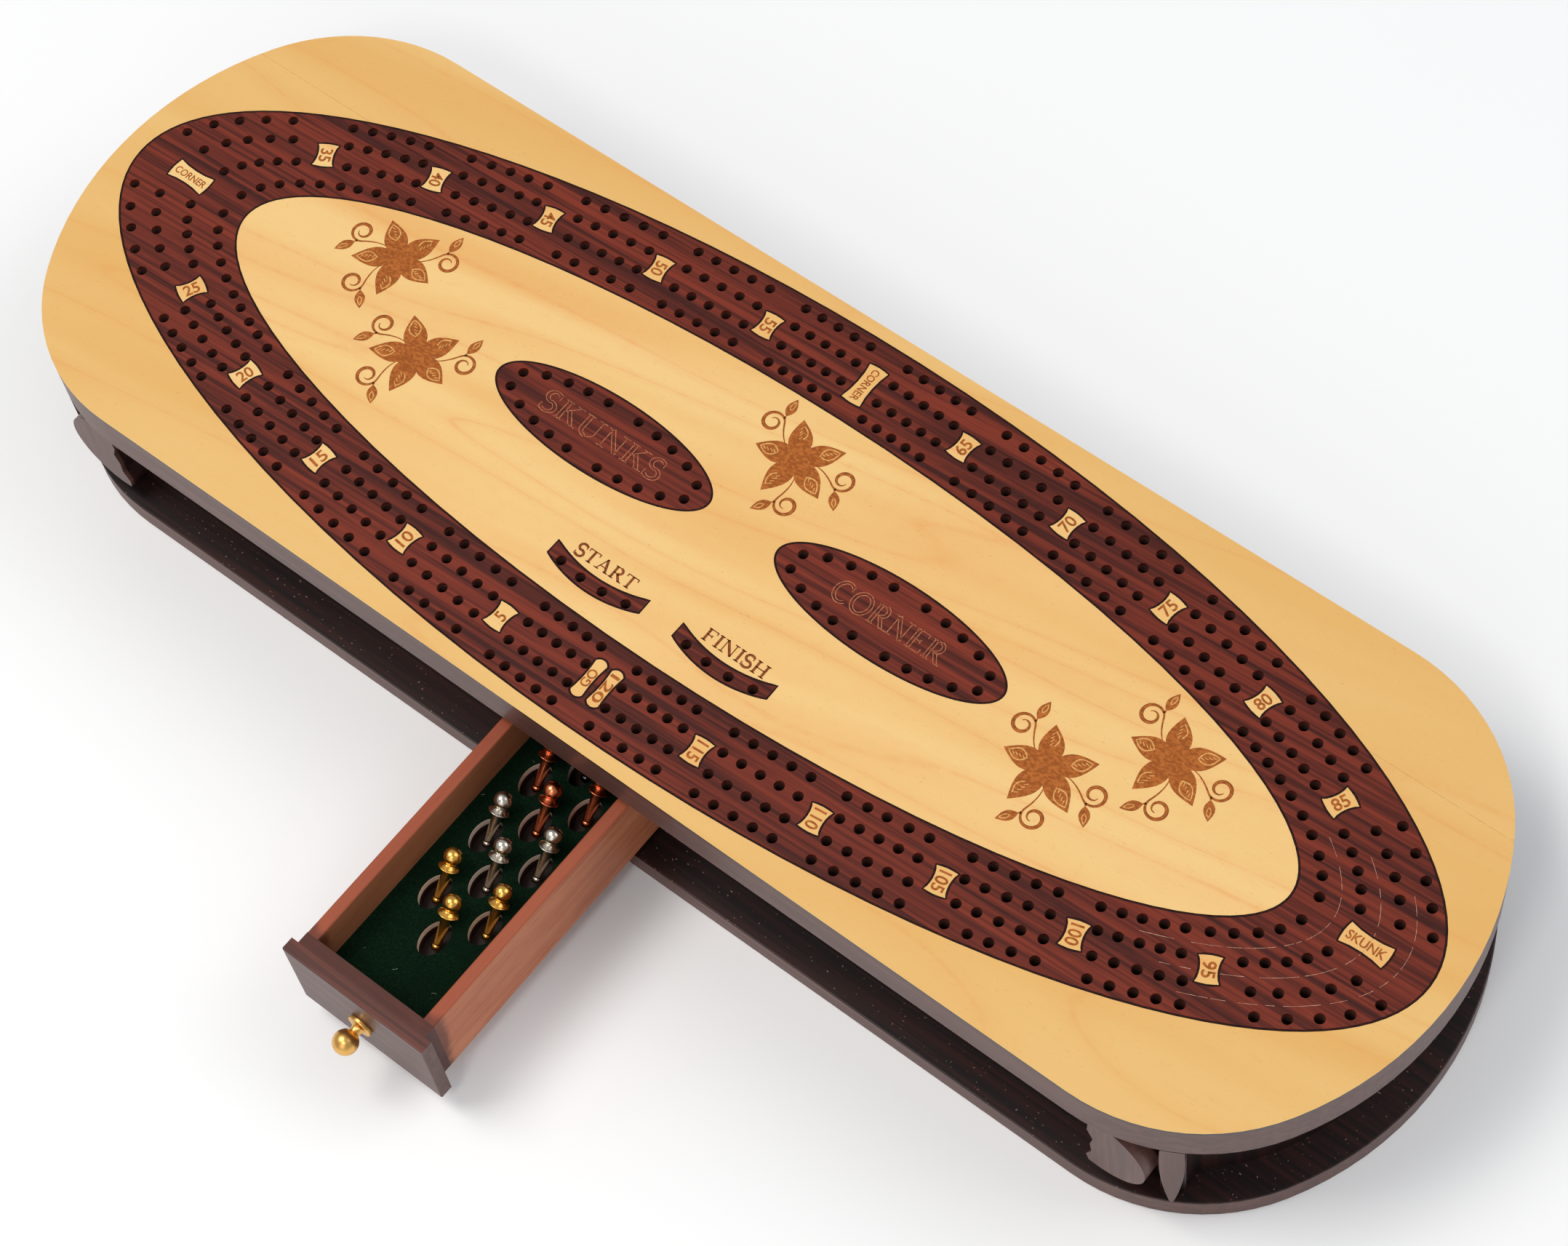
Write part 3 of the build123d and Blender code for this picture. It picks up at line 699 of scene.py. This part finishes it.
def stripMesh(name, lines, material, level=0.0):  # lines: (points, widths, closed), in millimetres
    curve = bpy.data.curves.new(name, "CURVE")
    curve.dimensions = "3D"
    height = (playFace + level) * mm
    for points, widths, closed in lines:
        spline = curve.splines.new("POLY")
        spline.points.add(len(points) - 1)
        for knot, (x, y), width in zip(spline.points, points, widths):
            knot.co = (x * mm, y * mm, height, 1)
            knot.radius = width
        spline.use_cyclic_u = closed
    source = bpy.data.objects.new(name, curve)
    bpy.context.scene.collection.objects.link(source)
    values = {"Level": height, "Thickness": marks["thickness"] * mm, "Paint": material}
    return grown(source, linePlan, values)


def rimMesh(node, width):
    values = {
        "Rim": width,
        "Shortest": marks["shortest"] * mm,
        "Level": playFace * mm,
        "Thickness": marks["thickness"] * mm,
        "Paint": scorches["rim"],
    }
    return grown(merged(node), rimPlan, values)


for node in ("track_band", "skunks_oval", "corner_oval", "start_tray", "finish_tray"):
    show(f"scorched_edge_{node}", rimMesh(node, marks["rim"]), "board")
print("scorched edges drawn")


# fine scribed arcs between the lanes
scribes = {
    "loops": ((192.9, 51.3), (203.9, 58.1), (213.9, 64.9)),
    "width": 0.14,
    "unevenness": (0.4, 1.1),
    "from": -36,  # degrees round the loop
    "to": 18,
    "steps": 6,
    "dash": (1.0, 6.5),
    "gap": (0.2, 2.4),
    "seed": 5,
}


def scribedArcs():
    chance = random.Random(scribes["seed"])
    lines = []
    for wide, deep in scribes["loops"]:
        angle = scribes["from"]
        while angle < scribes["to"]:
            length = chance.uniform(*scribes["dash"])
            steps = scribes["steps"]
            turns = [math.radians(angle + length * step / steps) for step in range(steps + 1)]
            points = [(wide * math.cos(turn), deep * math.sin(turn)) for turn in turns]
            widths = [scribes["width"] * chance.uniform(*scribes["unevenness"]) for _ in points]
            lines.append((points, widths, False))
            angle += length + chance.uniform(*scribes["gap"])
    return stripMesh("scribed_arcs", lines, scorches["scribe"])


show("scribed_arcs", scribedArcs(), "board")


# numbers and words on the markers
lettering = {
    "loop": (202.5, 57.8),  # half axes of the ellipse the number markers stand on
    "digitLength": 2.3,
    "digitShare": {1: 0.85, 2: 1, 3: 0.86},  # how wide each digit is, by how many there are
    "digitHeight": 3.7,
    "weight": 0.018,
    "roundness": 4,
    "numberStep": 5,
    "streets": (  # name, first number, whether it starts at the board's end, turn
        ("first", 5, False, 180),
        ("second", 35, True, 180),
        ("third", 65, False, 0),
        ("fourth", 95, True, 0),
    ),
    "words": (  # marker, word, length, height, turn
        ("marker_go", "GO", 5.6, 2.9, 90),
        ("marker_finish_line", "120", 9.4, 2.9, -90),
        ("marker_corner_left", "CORNER", 11.4, 2.4, 0),
        ("marker_corner_rear", "CORNER", 11.4, 2.4, -90),
        ("marker_skunk", "SKUNK", 11.2, 2.7, 0),
    ),
}


def wordMesh(word, length, height, place, turn):  # a word fitted into a box, lying on the surface
    text = bpy.data.curves.new("word", "FONT")
    text.body = word
    text.extrude = marks["thickness"]
    text.offset = lettering["weight"]
    text.resolution_u = lettering["roundness"]
    holder = bpy.data.objects.new("word", text)
    bpy.context.scene.collection.objects.link(holder)
    graph = bpy.context.evaluated_depsgraph_get()
    mesh = bpy.data.meshes.new_from_object(holder.evaluated_get(graph))
    bpy.data.objects.remove(holder)
    corners = [[vertex.co[axis] for vertex in mesh.vertices] for axis in range(3)]
    low, high = [min(values) for values in corners], [max(values) for values in corners]
    spans = [b - a for a, b in zip(low, high)]
    centre = Vector([(a + b) / 2 for a, b in zip(low, high)])
    mesh.transform(Matrix.Translation(-centre))
    sizes = [length * mm / spans[0], height * mm / spans[1], marks["thickness"] * mm / spans[2]]
    mesh.transform(Matrix.Diagonal((*sizes, 1)))
    mesh.transform(Matrix.Rotation(turn, 4, "Z"))
    mesh.transform(Matrix.Translation((place[0] * mm, place[1] * mm, playFace * mm)))
    return mesh


def joined(name, meshes):
    build = bmesh.new()
    for mesh in meshes:
        build.from_mesh(mesh)
        bpy.data.meshes.remove(mesh)
    whole = bpy.data.meshes.new(name)
    build.to_mesh(whole)
    build.free()
    return whole


def islandCentres(node):  # middle of each separate solid of a node, in millimetres
    build = bmesh.new()
    build.from_mesh(nodes[node].data)
    bmesh.ops.remove_doubles(build, verts=build.verts, dist=weld)
    left, centres = set(build.verts), []
    while left:
        island, edge = set(), [left.pop()]
        while edge:
            vertex = edge.pop()
            island.add(vertex)
            edge += [e.other_vert(vertex) for e in vertex.link_edges if e.other_vert(vertex) in left]
            left -= set(edge)
        spans = [[vertex.co[axis] / mm for vertex in island] for axis in (0, 1)]
        centres.append([(min(values) + max(values)) / 2 for values in spans])
    build.free()
    return centres


for street, number, inward, flip in lettering["streets"]:
    wide, deep = lettering["loop"]
    numbers = []
    places = sorted(islandCentres(f"number_markers_{street}_street"), key=lambda p: abs(p[0]), reverse=inward)
    for x, y in places:
        turn = math.atan2(y / deep**2, x / wide**2) + math.radians(flip)
        digits = len(str(number))
        length = lettering["digitLength"] * digits * lettering["digitShare"][digits]
        numbers.append(wordMesh(str(number), length, lettering["digitHeight"], (x, y), turn))
        number += lettering["numberStep"]
    show(f"numbers_{street}_street", joined("numbers", numbers), "board", scorches["mark"])

for node, word, length, height, turn in lettering["words"]:
    low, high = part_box(node)
    middle = (low + high) / 2 / mm
    mesh = wordMesh(word, length, height, middle, math.radians(turn))
    show(f"word_{node}", mesh, "board", scorches["mark"])
print("markers lettered")


# serif letters, drawn in strokes: cap height 1
def bow(x, y, wide, high, first, last, steps=10):  # an elliptical stroke, angles in degrees
    turns = [math.radians(first + (last - first) * step / steps) for step in range(steps + 1)]
    return [(x + wide * math.cos(turn), y + high * math.sin(turn)) for turn in turns]


def stem(*points):  # a thick stroke
    return ("stem", list(points))


def hair(*points):  # a thin stroke
    return ("hair", list(points))


def foot(x, y, half=0.13):  # a serif
    return hair((x - half, y), (x + half, y))


def upper(*places):  # serifs at the top of the letter
    return [foot(x, 0.97) for x in places]


def lower(*places):  # serifs at its bottom
    return [foot(x, 0.03) for x in places]


stems = {"stem": 0.19, "hair": 0.085, "outline": 0.06}  # widths as shares of the letter's height
letters = {  # letter: width, strokes
    "S": (0.56, [
        stem(*bow(0.28, 0.74, 0.2, 0.26, 40, 262), *bow(0.27, 0.26, 0.22, 0.26, 80, -140)),
        hair((0.46, 0.98), (0.45, 0.72)),
        hair((0.07, 0.28), (0.06, 0.0)),
    ]),
    "T": (0.66, [
        stem((0.33, 0.0), (0.33, 0.97)),
        hair((0.04, 0.97), (0.62, 0.97)),
        hair((0.04, 1.0), (0.04, 0.76)),
        hair((0.62, 1.0), (0.62, 0.76)),
        *lower(0.33),
    ]),
    "A": (0.78, [
        hair((0.14, 0.0), (0.39, 1.0)),
        stem((0.38, 1.0), (0.64, 0.0)),
        hair((0.22, 0.34), (0.54, 0.34)),
        *lower(0.13, 0.65),
    ]),
    "R": (0.74, [
        stem((0.17, 0.0), (0.17, 1.0)),
        hair((0.06, 0.97), (0.36, 0.97)),
        stem(*bow(0.34, 0.73, 0.18, 0.24, 85, -85)),
        hair((0.17, 0.49), (0.36, 0.49)),
        stem((0.36, 0.48), (0.62, 0.02)),
        *lower(0.17),
        foot(0.66, 0.03, 0.09),
    ]),
    "F": (0.62, [
        stem((0.17, 0.0), (0.17, 1.0)),
        hair((0.06, 0.97), (0.56, 0.97)),
        hair((0.56, 1.0), (0.56, 0.77)),
        hair((0.17, 0.52), (0.42, 0.52)),
        hair((0.42, 0.62), (0.42, 0.41)),
        *lower(0.17),
    ]),
    "I": (0.36, [stem((0.18, 0.0), (0.18, 1.0)), *upper(0.18), *lower(0.18)]),
    "N": (0.8, [
        hair((0.14, 0.0), (0.14, 1.0)),
        stem((0.14, 1.0), (0.64, 0.02)),
        hair((0.64, 0.0), (0.64, 1.0)),
        foot(0.11, 0.97, 0.09),
        *lower(0.14),
        *upper(0.64),
    ]),
    "H": (0.8, [
        stem((0.17, 0.0), (0.17, 1.0)),
        stem((0.63, 0.0), (0.63, 1.0)),
        hair((0.17, 0.5), (0.63, 0.5)),
        *upper(0.17),
        *lower(0.17),
        *upper(0.63),
        *lower(0.63),
    ]),
    "K": (0.76, [
        stem((0.17, 0.0), (0.17, 1.0)),
        hair((0.58, 0.97), (0.2, 0.44)),
        stem((0.33, 0.6), (0.63, 0.02)),
        *upper(0.17),
        *lower(0.17),
        *upper(0.58),
        *lower(0.64),
    ]),
    "U": (0.78, [
        stem((0.17, 1.0), (0.17, 0.32), *bow(0.38, 0.3, 0.21, 0.28, 180, 270, 6)),
        hair(*bow(0.38, 0.3, 0.22, 0.28, 270, 360, 6), (0.6, 1.0)),
        *upper(0.17, 0.6),
    ]),
    "C": (0.72, [stem(*bow(0.4, 0.5, 0.31, 0.48, 48, 312, 16)), hair((0.61, 0.98), (0.61, 0.7))]),
    "O": (0.8, [stem(*bow(0.4, 0.5, 0.32, 0.48, 0, 360, 24))]),
    "E": (0.66, [
        stem((0.17, 0.0), (0.17, 1.0)),
        hair((0.06, 0.97), (0.56, 0.97)),
        hair((0.56, 1.0), (0.56, 0.79)),
        hair((0.17, 0.51), (0.42, 0.51)),
        hair((0.42, 0.6), (0.42, 0.42)),
        hair((0.06, 0.03), (0.58, 0.03)),
        hair((0.59, 0.24), (0.58, 0.0)),
    ]),
}


def beside(points, offset):  # the same stroke, moved sideways
    moved = []
    for index, (x, y) in enumerate(points):
        before, after = points[max(index - 1, 0)], points[min(index + 1, len(points) - 1)]
        dx, dy = after[0] - before[0], after[1] - before[1]
        length = math.hypot(dx, dy) or 1
        moved.append((x - dy / length * offset, y + dx / length * offset))
    return moved


def spelled(word, left, right, base, height, outline):  # a word's lines; outline is 0 for solid letters
    lines = []
    stretch = (right - left) / sum(letters[letter][0] for letter in word)
    x = left
    for letter in word:
        width, strokes = letters[letter]
        for kind, points in strokes:
            rows = [points]
            if outline and kind == "stem":
                rows = [beside(points, stems["outline"]), beside(points, -stems["outline"])]
            weight = outline or stems[kind] * height
            for row in rows:
                placed = [(x + px * stretch, base + py * height) for px, py in row]
                lines.append((placed, [weight] * len(placed), False))
        x += width * stretch
    return lines


words = {  # word: its inlay, its middle from the inlay's middle, length, letter height, outline width
    "START": ("start_tray", (-0.3, 5.2), 20.8, 4.0, 0),
    "FINISH": ("finish_tray", (1.0, 5.2), 21.6, 4.0, 0),
    "SKUNKS": ("skunks_oval", (0, 0), 43, 6.6, 0.26),
    "CORNER": ("corner_oval", (0, 0), 37, 6.6, 0.26),
}
for word, (node, (aside, up), length, height, outline) in words.items():
    low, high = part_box(node)
    middle = (low + high) / 2 / mm
    left, base = middle.x + aside - length / 2, middle.y + up - height / 2
    look = scorches["faint" if outline else "word"]
    mesh = stripMesh(word, spelled(word, left, left + length, base, height, outline), look)
    show(f"word_{word.lower()}", mesh, "board")
print("words drawn")


# scorched flowers
flower = {
    "places": (  # x, y, turn, and -1 for a mirrored one
        (-134.3, 14.1, 0, 1),
        (-108.3, -7.7, -6, 1),
        (-0.2, 27.8, 4, -1),
        (110.3, -7.2, 0, -1),
        (135.1, 13.7, -3, -1),
    ),
    "petals": ((64, 12.6), (140, 13.4), (212, 14.0), (283, 13.6), (352, 12.8)),  # direction, length
    "petalHalf": 3.4,
    "leafSwell": 0.88,  # under 1, a leaf is widest beyond its middle
    "heart": 3.5,
    "heartWave": 0.1,
    "heartStep": 12,  # degrees
    "curls": ((27, 14.2), (177, 14.6), (248, 14.8)),  # direction and distance
    "curlRadius": 3.3,
    "curlFrom": 128,  # degrees on from the curl's direction
    "curlTurn": 470,
    "curlTighten": (0.66, 1.3),  # how much, and how late
    "curlSteps": 40,
    "stemReach": 6.5,
    "stemAside": 6,
    "line": (0.22, 0.85, 1.15, 1.4),  # thinnest, swell, how late it swells, how sharply
    "budLength": 6.2,
    "budHalf": 1.5,
    "budTurn": 62,
    "budStem": (0.8, 0.7, 0.5),  # length, first width, last width
    "budVein": (2.2, 3, 0.55, 0.3),  # place, length, half width, line
    "vein": (0.46, 0.42, 0.5, 0.4),  # place, length and half width as shares of the petal's, line
    "openVein": 0.42,  # line of a vein with one side, on every third petal
    "hatches": (0.52, 0.08, 4),  # first place and pitch as shares of the petal's length, how many
    "hatchAside": (70, -0.55),
    "hatchLine": (42, 1.15),
    "hatchWidths": (0.34, 0.2),
}


def polar(centre, direction, distance):
    turn = math.radians(direction)
    return (centre[0] + distance * math.cos(turn), centre[1] + distance * math.sin(turn))


def leafOutline(root, direction, length, half, steps=10):  # a pointed leaf, closed
    turn = math.radians(direction)
    shares = [step / steps for step in range(steps + 1)]
    side = [(length * share, half * math.sin(math.pi * share ** flower["leafSwell"])) for share in shares]
    ring = side + [(x, -y) for x, y in side[-2:0:-1]]
    return [
        (root[0] + x * math.cos(turn) - y * math.sin(turn), root[1] + x * math.sin(turn) + y * math.cos(turn))
        for x, y in ring
    ]


def plateMesh(outlines, level):  # closed plates of the marks' thickness, each a little higher
    build = bmesh.new()
    rise = Vector((0, 0, marks["thickness"] * mm))
    for index, outline in enumerate(outlines):
        bottom = playFace + level + marks["plateStep"] * index - marks["thickness"] / 2
        under = [build.verts.new((x * mm, y * mm, bottom * mm)) for x, y in outline]
        over = [build.verts.new(corner.co + rise) for corner in under]
        build.faces.new(under)
        build.faces.new(over)
        for here in range(len(outline)):
            before = here - 1
            build.faces.new((under[before], under[here], over[here], over[before]))
    bmesh.ops.recalc_face_normals(build, faces=build.faces)
    mesh = bpy.data.meshes.new("plates")
    build.to_mesh(mesh)
    build.free()
    return mesh


def blended(first, middle, last, steps=10):  # a smooth bend through three guides
    shares = [step / steps for step in range(steps)]
    return [
        tuple((1 - t) ** 2 * first[i] + 2 * t * (1 - t) * middle[i] + t * t * last[i] for i in (0, 1))
        for t in shares
    ]


def curlLine(direction, distance):  # a stem out of the heart that ends in a curl
    eye = polar((0, 0), direction, distance)
    tighten, late = flower["curlTighten"]
    spiral = []
    for step in range(flower["curlSteps"] + 1):
        share = step / flower["curlSteps"]
        turn = direction + flower["curlFrom"] - flower["curlTurn"] * share
        radius = flower["curlRadius"] * (1 - tighten * share**late)
        spiral.append(polar(eye, turn, radius))
    tangent = direction + flower["curlFrom"] + 90
    bend = polar(spiral[0], tangent, flower["stemReach"])
    root = polar((0, 0), direction - flower["stemAside"], flower["heart"])
    points = blended(root, bend, spiral[0]) + spiral
    last = len(points) - 1
    thin, swell, place, power = flower["line"]
    swells = [math.sin(math.pi * (index / last) ** place) ** power for index in range(last + 1)]
    return points, [thin + swell * share for share in swells], spiral[2]


def petalVeins(direction, length, number):  # pale lines inside a petal
    place, reach, half, width = flower["vein"]
    root = polar((0, 0), direction, length * place)
    inner = leafOutline(root, direction, length * reach, flower["petalHalf"] * half)
    veins = [(inner, [width] * len(inner), True)]
    if number % 3 == 0:
        side = inner[1 : len(inner) // 2]
        veins = [(side, [flower["openVein"]] * len(side), False)]
    first, pitch, count = flower["hatches"]
    for step in range(count):
        middle = polar((0, 0), direction, length * (first + pitch * step))
        sideTurn, aside = flower["hatchAside"]
        near = polar(middle, direction + sideTurn, aside)
        lineTurn, lineLength = flower["hatchLine"]
        far = polar(near, direction + lineTurn, lineLength)
        veins.append(([near, far], flower["hatchWidths"], False))
    return veins


def drawFlower(number, x, y, turn, side):
    spot = Matrix.Translation((x * mm, y * mm, 0)) @ Matrix.Rotation(math.radians(turn), 4, "Z")
    spot = spot @ Matrix.Diagonal((side, 1, 1, 1))
    leaves, veins, tendrils = [], [], []
    for index, (direction, length) in enumerate(flower["petals"]):
        leaves.append(leafOutline((0, 0), direction, length, flower["petalHalf"]))
        veins += petalVeins(direction, length, index)
    heart = []
    for angle in range(0, 360, flower["heartStep"]):
        wave = 1 + flower["heartWave"] * math.sin(math.radians(angle * len(flower["petals"])))
        heart.append(polar((0, 0), angle, flower["heart"] * wave))
    leaves.append(heart)
    for direction, distance in flower["curls"]:
        points, widths, branch = curlLine(direction, distance)
        tendrils.append((points, widths, False))
        budDirection = direction + flower["budTurn"]
        stemLength, *stemWidths = flower["budStem"]
        root = polar(branch, budDirection, stemLength)
        tendrils.append(([branch, root], stemWidths, False))
        leaves.append(leafOutline(root, budDirection, flower["budLength"], flower["budHalf"]))
        place, length, half, width = flower["budVein"]
        inner = leafOutline(polar(root, budDirection, place), budDirection, length, half)
        veins.append((inner, [width] * len(inner), True))
    layers = (
        ("petals", plateMesh(leaves, marks["plateLift"]), scorches["mark"]),
        ("curls", stripMesh("curls", tendrils, scorches["mark"]), scorches["mark"]),
        ("veins", stripMesh("veins", veins, scorches["pale"], marks["veinLift"]), scorches["pale"]),
    )
    for layer, mesh, material in layers:
        mesh.transform(spot)
        if side < 0:  # mirroring turned it inside out
            mesh.flip_normals()
        show(f"flower{number}_{layer}", mesh, "board", material)


for number, (x, y, turn, side) in enumerate(flower["places"]):
    drawFlower(number, x, y, turn, side)
print("flowers drawn")


# turned metal: pegs and the drawer's knob
def arc(x, y, radius, first, last, steps):  # profile arc: radius outwards, height along the axis
    turns = [math.radians(first + (last - first) * step / steps) for step in range(steps + 1)]
    return [(x + radius * math.cos(turn), y + radius * math.sin(turn)) for turn in turns]


turning = {"thinnest": 0.0001, "sharp": 38}  # millimetres, degrees


def turnedMesh(profile, tip, axis, steps):
    spin = Vector((0, 0, 1)).rotation_difference(axis).to_matrix().to_4x4()
    build = bmesh.new()
    rings = []
    for radius, height in profile:
        if radius < turning["thinnest"]:  # on the axis
            rings.append([build.verts.new((0, 0, height * mm))])
            continue
        angles = [2 * math.pi * step / steps for step in range(steps)]
        rings.append([
            build.verts.new((radius * mm * math.cos(turn), radius * mm * math.sin(turn), height * mm))
            for turn in angles
        ])
    for low, high in zip(rings, rings[1:]):
        for step in range(steps):
            after = (step + 1) % steps
            corners = [low[step % len(low)], low[after % len(low)]]
            corners += [high[after % len(high)], high[step % len(high)]]
            build.faces.new(list(dict.fromkeys(corners)))  # a ring of one point gives a triangle
    bmesh.ops.recalc_face_normals(build, faces=build.faces)
    build.transform(Matrix.Translation(tip) @ spin)
    mesh = bpy.data.meshes.new("turned")
    build.to_mesh(mesh)
    build.free()
    mesh.polygons.foreach_set("use_smooth", [True] * len(mesh.polygons))
    mesh.set_sharp_from_angle(angle=math.radians(turning["sharp"]))
    return mesh


peg = {
    "foot": 1.45,
    "waist": 1.25,
    "waistHeight": 4.35,
    "stem": 1.6,
    "collar": 3.0,
    "collarHeight": 12.0,
    "rimRound": 0.16,
    "neck": 1.5,
    "neckHeight": 13.3,
    "head": 2.6,
    "headCentre": 15.6,
    "steps": 56,
}


def pegProfile():
    profile = [(0, 0)] + arc(0, peg["foot"], peg["foot"], -84, 22, 12)
    profile += [(1.26, 2.12), (1.2, 2.3), (1.26, 2.44), (1.34, 2.6), (1.3, 2.9)]  # turned lines
    profile += [(peg["waist"], peg["waistHeight"]), (1.33, 7), (1.46, 9.6), (peg["stem"], 11.6)]
    profile += [(1.7, 11.86), (2.0, 11.97)]
    rim = peg["rimRound"]
    profile += arc(peg["collar"] - rim, peg["collarHeight"] + rim, rim, -88, 60, 6)
    profile += [(2.62, 12.42), (2.2, 12.7), (1.8, 13.02), (1.56, 13.2), (peg["neck"], peg["neckHeight"])]
    join = -math.degrees(math.acos(peg["neck"] / peg["head"]))
    profile += arc(0, peg["headCentre"], peg["head"], join, 86, 20) + [(0, peg["headCentre"] + peg["head"])]
    return profile


for finishName in ("brass", "nickel", "copper", "black"):
    for column in ("left", "middle", "right"):
        node = f"peg_{finishName}_{column}"
        low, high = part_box(node)
        axis = Vector(joints[node]["axis"]).normalized()
        radius = peg["foot"] * mm
        footCentre = Vector(((low.x + high.x) / 2, low.y + radius, low.z + radius))
        mesh = turnedMesh(pegProfile(), footCentre - axis * radius, axis, peg["steps"])
        show(f"turned_{node}", mesh, node, metalFinishes[finishName], (node,))

knob = {
    "flange": 3.75,
    "flangeRound": 0.3,
    "edgeRound": 0.4,
    "neck": 1.5,
    "ball": 3.6,
    "ballCentre": 6.6,
    "shank": 1.2,
    "shankLength": 6.8,
    "seat": -0.001,  # the flange is let this far into the panel
    "steps": 72,
}


def knobProfile():
    end = -knob["shankLength"]
    profile = [(0, end), (1.0, end), (knob["shank"], end + 0.3), (knob["shank"], knob["seat"])]
    edge, top = knob["flange"] - knob["flangeRound"], knob["flange"] - knob["edgeRound"]
    profile += [(edge, knob["seat"])]
    profile += arc(edge, 0.5, knob["flangeRound"], -80, 20, 5) + arc(top, 1.05, knob["edgeRound"], 0, 84, 5)
    profile += [(2.6, 1.5), (2.2, 1.56), (1.9, 1.78), (1.7, 2.15), (1.56, 2.6)]
    join = -math.degrees(math.acos(knob["neck"] / knob["ball"]))
    profile += [(knob["neck"], 3.05)] + arc(0, knob["ballCentre"], knob["ball"], join, 87, 24)
    return profile + [(0, knob["ballCentre"] + knob["ball"])]


low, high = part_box("drawer_knob")
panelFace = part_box("drawer_front_panel")[0].y
knobPlace = Vector(((low.x + high.x) / 2, panelFace, (low.z + high.z) / 2))
mesh = turnedMesh(knobProfile(), knobPlace, Vector((0, -1, 0)), knob["steps"])
show("turned_drawer_knob", mesh, "drawer", metalFinishes["satinBrass"], ("drawer_knob",))
print("metal turned")


# loose fibres on the felt
fibres = {
    "length": 0.75,
    "radius": 0.022,
    "density": 1.3e6,  # of fibres on a square metre
    "lintDensity": 3600,
    "lintScale": 1.6,
    "sizes": (0.5, 1.3),
    "bend": (0.5, 0.25, 0.22),  # middle of a fibre, as shares of its length
    "rise": 0.04,
    "lean": ((-0.15, -0.3, 0), (0.15, 0.1, 2 * math.pi)),
    "seed": 11,
}
fibrePlan = Plan(
    "fibres over a face",
    (("Length", "Float"), ("Radius", "Float"), ("Density", "Float"), ("Seed", "Int"), ("Paint", "Material")),
)
upward = fibrePlan.node("ShaderNodeSeparateXYZ", {}, {0: fibrePlan.node("GeometryNodeInputNormal")}, "Z")
spots = fibrePlan.node(
    "GeometryNodeDistributePointsOnFaces",
    {},
    {
        0: fibrePlan.given("Source"),
        "Selection": upward.maths("GREATER_THAN", marks["upright"]),
        "Density": fibrePlan.given("Density"),
        "Seed": fibrePlan.given("Seed"),
    },
)
length = fibrePlan.given("Length")
bendX, bendY, bendZ = fibres["bend"]
middle = fibrePlan.node(
    "ShaderNodeCombineXYZ", {}, {"X": length * bendX, "Y": length * bendY, "Z": length * bendZ}
)
end = fibrePlan.node("ShaderNodeCombineXYZ", {}, {"X": length, "Y": 0.0, "Z": length * fibres["rise"]})
fibreLine = fibrePlan.node(
    "GeometryNodeCurveQuadraticBezier",
    {},
    {"Resolution": 3, "Start": (0, 0, 0), "Middle": middle, "End": end},
)
wire = fibrePlan.node(
    "GeometryNodeCurvePrimitiveCircle", {}, {"Resolution": 3, "Radius": fibrePlan.given("Radius")}
)
strand = fibrePlan.node("GeometryNodeCurveToMesh", {}, {0: fibreLine, 1: wire, "Fill Caps": True})
leanLow, leanHigh = fibres["lean"]
spinAround = fibrePlan.node(
    "FunctionNodeRandomValue",
    {"data_type": "FLOAT_VECTOR"},
    {0: leanLow, 1: leanHigh, "Seed": fibrePlan.given("Seed")},
)
smallest, largest = fibres["sizes"]
size = fibrePlan.node(
    "FunctionNodeRandomValue",
    {"data_type": "FLOAT"},
    {2: smallest, 3: largest, "Seed": fibrePlan.given("Seed")},
    1,
)
scattered = fibrePlan.node(
    "GeometryNodeInstanceOnPoints", {}, {0: spots, "Instance": strand, "Rotation": spinAround, "Scale": size}
)
fibrePlan.close(scattered, fibrePlan.given("Paint"))


def strewn(name, density, scale, material, seed):
    values = {
        "Length": fibres["length"] * scale * mm,
        "Radius": fibres["radius"] * mm * scale,
        "Density": density,
        "Seed": seed,
        "Paint": material,
    }
    mesh = grown(merged("felt_lining"), fibrePlan, values)
    show(name, mesh, "drawer")


def threadFinish(name, colour):
    finish = Finish(name, {"Specular IOR Level": 0.1})
    tone = finish.grain((3, 2), (0, 0, 15), 6, 2)
    finish.feed("Base Color", finish.mix(tone.rise(0.3, 0.7) * 0.6, paint(*colour), paint(*felt["deep"])))
    finish.feed("Roughness", 0.8 + tone * 0.1)
    return finish.material


fibreThread, lintThread = threadFinish("feltFibre", felt["fibre"]), threadFinish("lintThread", felt["lint"])
strewn("felt_fibres", fibres["density"], 1, fibreThread, fibres["seed"])
strewn("felt_lint", fibres["lintDensity"], fibres["lintScale"], lintThread, fibres["seed"] + 1)
print("felt strewn with fibres")
